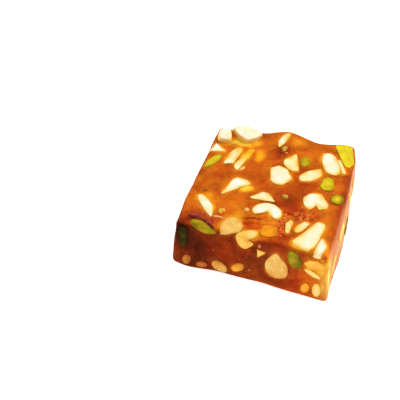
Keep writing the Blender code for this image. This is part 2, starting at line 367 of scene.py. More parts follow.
    def set(self, **values: object) -> None:
        """Set the shader's own sockets.

        Args:
            values: What each holds, by its name in small letters with _ for spaces.
        """
        names = {s.name.lower().replace(" ", "_"): s for s in self.shader.inputs}
        for name, value in values.items():
            self.fill(names[name], value)


@dataclass(frozen=True)
class JellyFinish:
    """Set starch jelly: cloudy amber, darker and redder where it is deep and in painted shade."""

    tones: tuple[tuple[float, Colour], ...] = (
        (0.00, (0.055, 0.010, 0.004)),
        (0.20, (0.230, 0.034, 0.009)),
        (0.40, (0.430, 0.078, 0.012)),
        (0.60, (0.690, 0.185, 0.016)),
        (0.80, (0.880, 0.320, 0.022)),
        (1.00, (0.930, 0.480, 0.070)),
    )
    redder: Colour = (1.0, 0.62, 0.72)  # what its colours are multiplied by where it is red
    yellower: Colour = (1.0, 1.30, 0.95)  # and where it is golden
    # a milky colour for cloudy patches, and for the painted sheen on the right-hand face
    milk_and_sheen: Colour = (0.77, 0.66, 0.31)
    haze: float = 0.012  # how much of that milky colour shows in patches
    hazes: Pattern = Pattern(700.0, 3.0, 0.6)
    clouds: Pattern = Pattern(130.0, warp=0.4, swing=0.09)
    mottle: Pattern = Pattern(420.0, 3.0, 0.6, 0.6, swing=0.05)
    flecks: Pattern = Pattern(1500.0, swing=0.03)
    veins: Pattern = Pattern(180.0, warp=0.8, stretch=(0.8, 1.2, 1.2))
    vein_width: float = 0.012
    vein_depth: float = 0.06
    blushes: Pattern = Pattern(260.0, warp=0.5, swing=0.28)
    grains: tuple[Pattern, Pattern] = (Pattern(1400.0), Pattern(420.0))
    grain_strength: float = 0.25
    grain_height: float = 0.12 * MM
    transmission: float = 0.15
    roughness: float = 0.30
    ior: float = 1.15
    gloss: float = 0.05
    glow: float = 0.40  # how much of its light spreads under the skin
    spread: Point = (2.4 * MM, 0.8 * MM, 0.3 * MM)  # and how far, for red, green and blue
    kept: Colour = (0.86, 0.52, 0.02)  # what the light inside it keeps of its colours
    density: float = 300.0  # and how soon it loses the rest

    def material(self) -> bpy.types.Material:
        """Build the material.

        Returns:
            The material.
        """
        graph = Graph("set_jelly")
        vein = graph.math("MULTIPLY", graph.ridge(self.veins, self.vein_width), self.vein_depth)
        patches = (graph.swing(pattern) for pattern in (self.clouds, self.flecks, self.mottle))
        # the tone attribute holds painted light and shade as well as the jelly's own tone
        tone = graph.math("SUBTRACT", graph.total(graph.attribute("tone"), *patches), vein)
        blush = graph.total(graph.attribute("red"), graph.swing(self.blushes))
        cast = graph.mix(blush, self.yellower, self.redder)
        colour = graph.mix(1.0, graph.ramp(tone, self.tones), cast, "MULTIPLY")
        # the attribute adds the painted sheen on the right-hand face
        haze = graph.total(graph.spread(self.hazes, 0.0, self.haze), graph.attribute("milk_and_sheen"))
        graph.set(
            base_color=graph.mix(haze, colour, self.milk_and_sheen),
            roughness=self.roughness,
            ior=self.ior,
            specular_ior_level=self.gloss,
            transmission_weight=self.transmission,
            subsurface_weight=self.glow,
            subsurface_radius=self.spread,
            subsurface_scale=1.0,
        )
        grain = graph.total(*(graph.noise(pattern) for pattern in self.grains))
        graph.bump(grain, self.grain_strength, self.grain_height)
        inside = graph.add("ShaderNodeVolumeAbsorption")
        inside.inputs["Color"].default_value = (*self.kept, 1.0)
        inside.inputs["Density"].default_value = self.density
        graph.fill(graph.output.inputs["Volume"], inside.outputs["Volume"])
        return graph.material


@dataclass(frozen=True)
class NutFinish:
    """The flesh of a nut, from dry to soaked in syrup."""

    name: str
    soaked: tuple[tuple[float, Colour], ...]
    roughness: float = 0.45
    gloss: float = 0.20
    grain: Pattern = Pattern(700.0, 3.0, 0.6)
    grain_strength: float = 0.30
    grain_height: float = 0.08 * MM
    patches: Pattern = Pattern(380.0, 3.0, swing=0.05)
    freckle: Colour = (0.60, 0.40, 0.20)
    freckles: float = 0.10  # how strong they are
    glow: float = 0.30  # how much of its light spreads under the skin
    spread: Point = (1.2 * MM, 0.8 * MM, 0.4 * MM)

    def material(self) -> bpy.types.Material:
        """Build the material.

        Returns:
            The material.
        """
        graph = Graph(self.name)
        # the soak attribute also holds painted light and shade
        soak = graph.total(graph.attribute("soak"), graph.swing(self.patches))
        fine = replace(self.grain, scale=2.0 * self.grain.scale)
        freckles = graph.spread(fine, 0.0, self.freckles)
        flesh = graph.mix(freckles, graph.ramp(soak, self.soaked), self.freckle, "MULTIPLY")
        graph.set(
            base_color=flesh,
            roughness=self.roughness,
            specular_ior_level=self.gloss,
            subsurface_weight=self.glow,
            subsurface_radius=self.spread,
            subsurface_scale=1.0,
        )
        graph.bump(graph.noise(self.grain), self.grain_strength, self.grain_height)
        return graph.material


@dataclass(frozen=True)
class PlainFinish:
    """A small thing's finish: two colours in patches."""

    name: str
    first: Colour
    second: Colour
    roughness: float = 0.5
    gloss: float = 0.3
    patches: Pattern = Pattern(900.0, 3.0, 0.6)
    grain: Pattern = Pattern(1800.0)
    grain_strength: float = 0.3
    grain_height: float = 0.08 * MM

    def material(self) -> bpy.types.Material:
        """Build the material.

        Returns:
            The material.
        """
        graph = Graph(self.name)
        share = graph.spread(self.patches, 0.0, 1.0)
        graph.set(
            base_color=graph.mix(share, self.first, self.second),
            roughness=self.roughness,
            specular_ior_level=self.gloss,
        )
        graph.bump(graph.noise(self.grain), self.grain_strength, self.grain_height)
        return graph.material


FINISHES = {
    Kind.CASHEW: NutFinish(
        "cashew_flesh",
        (
            (0.00, (0.850, 0.785, 0.725)),
            (0.20, (0.840, 0.690, 0.400)),
            (0.50, (0.840, 0.530, 0.110)),
            (0.75, (0.800, 0.330, 0.006)),
            (1.00, (0.400, 0.110, 0.015)),
        ),
    ),
    Kind.ALMOND: NutFinish(
        "almond_flesh",
        (
            (0.00, (0.840, 0.700, 0.380)),
            (0.35, (0.790, 0.545, 0.160)),
            (0.70, (0.730, 0.340, 0.055)),
            (1.00, (0.380, 0.110, 0.020)),
        ),
        grain=Pattern(500.0, 3.0, 0.6),
        patches=Pattern(380.0, 3.0, swing=0.10),
        freckles=0.40,
    ),
    Kind.PISTACHIO: NutFinish(
        "pistachio_flesh",
        (
            (0.00, (0.780, 0.640, 0.035)),
            (0.30, (0.520, 0.410, 0.018)),
            (0.60, (0.215, 0.150, 0.010)),
            (1.00, (0.040, 0.026, 0.003)),
        ),
        gloss=0.03,
        grain=Pattern(600.0, 3.0, 0.6),
        patches=Pattern(380.0, 3.0, swing=0.10),
    ),
}


# ---------------------------------------------------------------------------
# The square
# ---------------------------------------------------------------------------


@dataclass(frozen=True)
class Swell:
    """A soft swell or dip of the set halwa: a push that fades away from its middle, in mm."""

    middle: Point
    reach: float
    push: Point

    def at(self, place: Vector) -> Vector:
        """How far the swell moves a place."""
        far = (place / MM - Vector(self.middle)).length
        return Vector(self.push) * MM * falloff(far, self.reach)


@dataclass(frozen=True)
class Shade:
    """A soft region where the jelly's colour changes. Its middle and reach are in mm."""

    middle: Point
    reach: Point
    change: float

    def at(self, place: Vector) -> float:
        """How much it changes a place."""
        square = sum(((a - b) / r) ** 2 for a, b, r in zip(place / MM, self.middle, self.reach))
        return self.change * math.exp(-square)


@dataclass(frozen=True)
class Crease:
    """A crack or fold in the top: a groove that wanders between two places, in mm."""

    start: Pair
    end: Pair
    depth: float
    width: float = 0.45
    wander: tuple[Ripple, Ripple] = (Ripple(280.0, 0.7), Ripple(900.0, 0.3))

    def at(self, place: Vector) -> float:
        """Find how deep the crease is.

        Args:
            place: A place on the top.

        Returns:
            Its depth there, in mm.
        """
        start, end = Vector(self.start), Vector(self.end)
        way, step = end - start, place.xy / MM - start
        share = step.dot(way) / way.length_squared
        ends = max(0.0, 1.0 - (2.0 * share - 1.0) ** 2)
        if ends == 0.0:
            return 0.0
        aside = way.cross(step) / way.length + sum(wave.at(place) for wave in self.wander)
        return self.depth * ends * falloff(aside, self.width)


@dataclass
class HandCutSquare:
    """The uneven square that the knife left, before its nuts are in it."""

    half: Point = (30.0 * MM, 32.0 * MM, 11.25 * MM)
    edge_radius: float = 1.7 * MM
    line_step: float = 0.42 * MM
    weld: float = 0.01 * MM
    outside: float = 0.1  # a distance that lies clear of the square
    wave_length: float = 13.0 * MM
    wave_height: float = 0.6 * MM
    wave_offsets: tuple[Point, ...] = ((5.2, 1.3, 0.0), (0.0, 7.1, 3.9), (2.6, 0.0, 8.4))
    corners: dict[tuple[int, int, int], Point] = field(default_factory=lambda: {
        (-1, -1, 0): (-31.7, -32.4, 0.0),
        (1, -1, 0): (32.3, -35.4, 0.0),
        (1, 1, 0): (30.4, 35.1, 0.0),
        (-1, 1, 0): (-31.2, 31.2, 0.0),
        (-1, -1, 1): (-30.4, -31.1, 21.4),
        (1, -1, 1): (29.6, -33.4, 24.6),
        (1, 1, 1): (28.7, 32.1, 24.4),
        (-1, 1, 1): (-30.3, 28.4, 21.7),
    })
    swells: tuple[Swell, ...] = (
        Swell((29.5, 4.0, 22.0), 20.0, (1.2, 0.0, 0.0)),
        Swell((-30.5, -4.0, 20.0), 16.0, (-0.5, 0.0, 0.0)),
        Swell((31.8, -8.0, 0.0), 15.0, (1.0, 0.0, 0.0)),
        Swell((-25.0, -32.0, 0.0), 8.5, (0.0, -2.2, 0.0)),
        Swell((0.0, 30.0, 23.0), 7.0, (0.0, 1.0, 1.6)),
        Swell((15.0, 31.0, 24.0), 6.0, (0.0, -0.8, -0.8)),
        Swell((29.0, 31.0, 24.0), 6.0, (-1.0, -1.0, 0.0)),
        Swell((-8.0, -33.0, 21.5), 10.0, (0.0, 1.8, -1.6)),
    )
    skin: BVHTree = field(init=False, repr=False)
    blank: bmesh.types.BMesh = field(init=False, repr=False)

    def __post_init__(self) -> None:
        """Cut the square."""
        self.blank = self.grid()
        for vert in self.blank.verts:
            vert.co = self.hand_cut(vert.co)
        self.blank.normal_update()
        self.skin = BVHTree.FromBMesh(self.blank)

    def grid(self) -> bmesh.types.BMesh:
        """Make a closed box in fine squares, as large as the square.

        Returns:
            Its mesh.
        """
        bm = bmesh.new()
        for axis in range(3):
            across, up = (axis + 1) % 3, (axis + 2) % 3
            counts = [round(2.0 * self.half[side] / self.line_step) for side in (across, up)]
            for sign in (-1.0, 1.0):
                place = Matrix.Diagonal((0.0, 0.0, 0.0, 1.0))
                place[across][0] = sign * self.half[across]
                place[up][1] = self.half[up]
                place[axis][2] = sign
                place[axis][3] = sign * self.half[axis]
                bmesh.ops.create_grid(
                    bm, x_segments=counts[0], y_segments=counts[1], size=1.0, matrix=place
                )
        bmesh.ops.remove_doubles(bm, verts=bm.verts[:], dist=self.weld)
        return bm

    def hand_cut(self, point: Vector) -> Vector:
        """Where a point of the square's box lies on the real, uneven square.

        Args:
            point: A point on the box.

        Returns:
            Its place.
        """
        radius = self.edge_radius
        inner = Vector(
            max(radius - side, min(side - radius, value)) for value, side in zip(point, self.half)
        )
        place = self.between_corners(inner + (point - inner).normalized() * radius)
        height = max(0.0, place.z) / (2.0 * self.half[2])
        waves = (noise.noise(place / self.wave_length + Vector(o)) for o in self.wave_offsets)
        shift = Vector(waves) * self.wave_height
        for swell in self.swells:
            shift += swell.at(place)
        shift.z *= height
        return place + shift

    def between_corners(self, point: Vector) -> Vector:
        """Carry a point of the true square to its place between the real corners.

        Args:
            point: The point.

        Returns:
            Its place.
        """
        share = Vector(value / side for value, side in zip(point, self.half))
        place = Vector()
        for (side_x, side_y, top), corner in self.corners.items():
            weight = (1.0 + side_x * share.x) * (1.0 + side_y * share.y) / 8.0
            weight *= 1.0 + share.z if top else 1.0 - share.z
            place += Vector(corner) * MM * weight
        return place

    def on_face(self, face: Face, right: float, up: float) -> Vector:
        """The place on the skin that lies so many mm to the right and up a face."""
        start = (face.right * right + face.up * up) * MM + face.out * self.outside
        return self.skin.ray_cast(start, -face.out)[0]

    def above(self, place: Vector) -> tuple[float, Vector, Vector]:
        """How far a place lies outside, the nearest place of the skin, and the way out there."""
        near, normal, *_ = self.skin.find_nearest(place)
        return (place - near).dot(normal), near, normal


# ---------------------------------------------------------------------------
# Nuts
# ---------------------------------------------------------------------------


def new_piece(name: str, bm: bmesh.types.BMesh, material: bpy.types.Material) -> bpy.types.Object:
    """Make a finished piece of a mesh.

    Args:
        name: The piece's name.
        bm: Its mesh, which is freed.
        material: Its material.

    Returns:
        The piece, riding on the body.
    """
    mesh = bpy.data.meshes.new(name)
    bm.to_mesh(mesh)
    bm.free()
    mesh.shade_smooth()
    mesh.materials.append(material)
    piece = bpy.data.objects.new(name, mesh)
    bpy.context.scene.collection.objects.link(piece)
    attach(piece, BODY)
    return piece


@dataclass(frozen=True)
class Nut:
    """A chopped nut and how it lies in a face of the square.

    The first word of its name is its kind. Its place is measured to the right and up the
    face from the origin, and its turn is that of its length from the face's right. Its sizes
    are in mm and its angles in degrees.
    """

    name: str
    face: Face
    right: float
    up: float
    length: float
    width: float
    turn: float = 0.0
    bend: float = 0.0  # degrees that it curls from end to end
    taper: float = 0.0  # fatter towards its far end, or towards its near end if below 0
    tip: float = 0.0  # how pointed the far end is, or how blunt if below 0
    tail: float = 0.0  # the same for the near end
    notch: float = 0.0  # how deep a notch its right-hand side has
    cleft: float = 0.32  # how wide the notch is, for half of its length
    rise: float = 0.0  # height above the face, for a nut that the knife missed
    chops: tuple[Pair, ...] = ()  # chopped sides: direction on the face, distance
    soak: float = 0.06  # how far the syrup has stained its cut face
    rim: float = 0.42  # how much further it has stained its edge
    heart: float = 0.0  # how much further it has stained its middle
    fade: Pair = (0.0, 0.0)  # and one side, partly painted shade: direction on the face, how much

    CORNERS: ClassVar[float] = 24.0  # how sharp the corners between chopped sides are
    DEPTH: ClassVar[float] = 0.30  # how deep it is, for its size
    DOME: ClassVar[float] = 1.7  # how steeply its sides rise to its lid
    LID: ClassVar[float] = 3.0  # how far it reaches over the face before the knife's cut

    @property
    def kind(self) -> Kind:
        """What it is."""
        return Kind(self.name.split("_")[0])

    @property
    def size(self) -> float:
        """The middle of its length and width."""
        return math.sqrt(self.length * self.width)

    @property
    def depth(self) -> float:
        """How far it reaches under its widest outline."""
        return self.DEPTH * self.size

    @property
    def halo(self) -> float:
        """How strongly the jelly beside it is lit up: less by a darker nut."""
        most, loss, dark = (0.45, 1.3, 0.5) if self.kind is Kind.PISTACHIO else (1.0, 1.1, 0.3)
        return most - loss * max(0.0, self.soak - dark)

    def shape(self, ball: Vector) -> Vector:
        """Where a point of the unit ball lies on the nut, in the nut's own axes.

        Args:
            ball: The point.

        Returns:
            The place, in metres: X along the nut's length, Y to its left and Z out of the face.
        """
        sharpness = self.tip if ball.x > 0.0 else self.tail
        slim = (1.0 + self.taper * ball.x) * (1.0 - sharpness * ball.x**2)
        side = 0.5
        if ball.y < 0.0:
            side *= 1.0 - self.notch * falloff(ball.x, self.cleft)
        if ball.z < 0.0:
            outward = slim * self.depth * ball.z
        else:
            steep = self.DOME * ball.z
            outward = slim * (self.rise or self.LID) * steep / (1.0 + steep**4) ** 0.25
        along = ball.x * self.length / 2.0
        across = ball.y * slim * side * self.width
        if self.bend:
            radius = self.length / math.radians(self.bend)
            angle = along / radius
            along = (radius + across) * math.sin(angle)
            across = (radius + across) * math.cos(angle) - radius
        beyond = 1.0
        for direction, distance in self.chops:
            angle = math.radians(direction - self.turn)
            reach = along * math.cos(angle) + across * math.sin(angle)
            beyond += max(0.0, reach / distance) ** self.CORNERS
        share = beyond ** (-1.0 / self.CORNERS)
        return Vector((along * share, across * share, outward)) * MM


@dataclass
class Kernel:
    """The mesh of one nut, cut flush with the square."""

    nut: Nut
    square: HandCutSquare
    proud: float = 0.25 * MM
    sink: float = 0.12  # how far its widest outline lies under the face, for its depth
    rim: float = 0.80 * MM  # how far in from its edge its rim is stained
    thin_rim: float = 0.35 * MM  # and the least where that is thin
    base: float = 2.10 * MM  # how far up a raised nut's sides the stain and painted glow reach
    base_stain_and_glow: float = 0.40
    shallow: float = 0.05 * MM  # how far under the face it is still as its cut face is
    deep: float = 1.5 * MM  # how far from the edge it is as dark as it gets
    deep_soak: float = 0.75  # where its soak gets to there
    deep_share: float = 0.5  # how much of the way
    heart: float = 0.3  # how far its middle reaches, for its size
    spokes: int = 64
    bowl_rings: int = 10
    lid_rings: int = 18
    shoulder_rings: int = 4  # the lid's rings that round its edge
    halvings: int = 14  # steps that find where a spoke leaves the square
    rough: float = 0.05  # how uneven its outline is, for its size
    unlike: float = 0.97  # how far apart two nuts take their unevenness, for each mm
    grain: Ripple = Ripple(600.0, 0.04 * MM)
    rim_wander: Ripple = Ripple(300.0, 1.4, (0.4, 5.2, 1.9))
    patches: Ripple = Ripple(260.0, 0.10, (3.3, 8.1, 0.7))
    lump_waves: tuple[Pair, Pair] = ((1.6, 1.0), (4.1, 0.5))  # waves to its half size, height
    lumps: tuple[Ripple, ...] = field(init=False)
    middle: Vector = field(init=False)
    place: Matrix = field(init=False)
    outline: list[Vector] = field(init=False, default_factory=list)
    lid: list[Vector] = field(init=False, default_factory=list)

    def __post_init__(self) -> None:
        """Find where the nut lies."""
        nut = self.nut
        self.middle = self.square.on_face(nut.face, nut.right, nut.up)
        sink = 0.0 if nut.rise else self.sink * nut.depth * MM
        self.place = nut.face.seat(self.middle, nut.turn, sink)
        start = tuple(Vector((nut.right, nut.up, nut.length)) * self.unlike)
        self.lumps = tuple(Ripple(scale, height, start) for scale, height in self.lump_waves)

    def skin_point(self, spoke: float, rise: float) -> Vector:
        """A place on the whole nut.

        Args:
            spoke: The direction round the nut, in radians.
            rise: The angle up from its widest outline, in radians.

        Returns:
            The place, in the square's frame.
        """
        ball = Vector((
            math.cos(rise) * math.cos(spoke), math.cos(rise) * math.sin(spoke), math.sin(rise)
        ))
        lump = sum(wave.at(ball) for wave in self.lumps)
        return self.place @ (self.nut.shape(ball) * (1.0 + self.rough * lump))

    def crossing(self, spoke: float) -> float:
        """Find where a spoke leaves the square.

        Args:
            spoke: The direction round the nut, in radians.

        Returns:
            The angle up from the nut's widest outline, in radians.
        """
        low, high = -QUARTER_TURN, QUARTER_TURN
        if self.nut.rise:
            return 0.0
        for _ in range(self.halvings):
            middle = (low + high) / 2.0
            outside, *_ = self.square.above(self.skin_point(spoke, middle))
            low, high = (low, middle) if outside > 0.0 else (middle, high)
        return high

    def lid_point(self, place: Vector, ring: int) -> Vector:
        """Cut a place of the lid off, at the square's skin and a little proud of it.

        Args:
            place: The place on the whole nut.
            ring: Its ring of the lid, counted from the edge.

        Returns:
            Its place on the cut face.
        """
        if self.nut.rise:
            return place
        outside, near, normal = self.square.above(place)
        step = min(1.0, ring / self.shoulder_rings)
        height = self.proud * step * (2.0 - step) + self.grain.at(place) * step
        return near + normal * height if outside > height else place

    def ring_point(self, spoke: float, cut: float, ring: int) -> Vector:
        """A place of the cut nut.

        Args:
            spoke: The direction round the nut, in radians.
            cut: The angle at which that spoke leaves the square.
            ring: The ring, counted from the foot.

        Returns:
            The place.
        """
        if ring <= self.bowl_rings:
            rise = -QUARTER_TURN + (cut + QUARTER_TURN) * (ring / self.bowl_rings)
        else:
            rise = cut + (QUARTER_TURN - cut) * ((ring - self.bowl_rings) / self.lid_rings)
        place = self.skin_point(spoke, rise)
        return place if ring < self.bowl_rings else self.lid_point(place, ring - self.bowl_rings)

    def mesh(self) -> bmesh.types.BMesh:
        """Build the nut: a bowl up to the cut, and a lid that follows the cut.

        Returns:
            Its mesh.
        """
        bm = bmesh.new()
        soak = bm.verts.layers.float.new("soak")
        spokes = [math.tau * step / self.spokes for step in range(self.spokes)]
        cuts = [self.crossing(spoke) for spoke in spokes]
        loops = [
            [bm.verts.new(self.ring_point(spoke, cut, ring)) for spoke, cut in zip(spokes, cuts)]
            for ring in range(1, self.bowl_rings + self.lid_rings)
        ]
        self.outline = [vert.co.copy() for vert in loops[self.bowl_rings - 1]]
        self.lid = [vert.co.copy() for loop in loops[self.bowl_rings - 1:] for vert in loop]
        foot = bm.verts.new(self.skin_point(0.0, -QUARTER_TURN))
        top = self.skin_point(0.0, QUARTER_TURN)
        crown = bm.verts.new(self.lid_point(top, self.lid_rings))
        for index in range(self.spokes):
            after = (index + 1) % self.spokes
            bm.faces.new((foot, loops[0][after], loops[0][index]))
            bm.faces.new((crown, loops[-1][index], loops[-1][after]))
            for lower, upper in zip(loops, loops[1:]):
                bm.faces.new((lower[index], lower[after], upper[after], upper[index]))
        self.stain(bm, soak)
        bm.normal_update()
        return bm

    def stain(self, bm: bmesh.types.BMesh, soak: object) -> None:
        """Write how far the syrup has stained each point of the nut, and its painted light and
        shade.

        Args:
            bm: The nut's mesh.
            soak: The layer to write to.
        """
        nut = self.nut
        edge = tree_of(self.outline)
        direction = math.radians(nut.fade[0])
        way = nut.face.right * math.cos(direction) + nut.face.up * math.sin(direction)
        size = nut.size * MM
        for vert in bm.verts:
            outside, *_ = self.square.above(vert.co)
            *_, far = edge.find(vert.co)
            if nut.rise:
                # a raised nut's foot: syrup stain and painted golden light thrown up from the
                # jelly
                rim = self.base_stain_and_glow * falloff(max(0.0, outside), self.base, 4)
            else:
                wide = self.rim * (1.0 + self.rim_wander.at(vert.co))
                rim = nut.rim * falloff(far, max(self.thin_rim, wide))
            step = vert.co - self.middle
            side = clamped(0.5 + step.dot(way) / size)
            heart = falloff(step.length, self.heart * size)
            under = 0.0 if outside > -self.shallow else min(1.0, far / self.deep)
            under *= max(0.0, self.deep_share * (self.deep_soak - nut.soak))
            stain = rim + nut.heart * heart + under
            vert[soak] = nut.soak + stain + nut.fade[1] * side + self.patches.at(vert.co)

    def build(self, material: bpy.types.Material) -> bpy.types.Object:
        """Make the piece and let it stand for its node.

        Args:
            material: The nut's finish.

        Returns:
            The piece.
        """
        piece = new_piece(self.nut.name + "_cut", self.mesh(), material)
        if self.nut in NUTS:
            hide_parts(self.nut.name)
        return piece


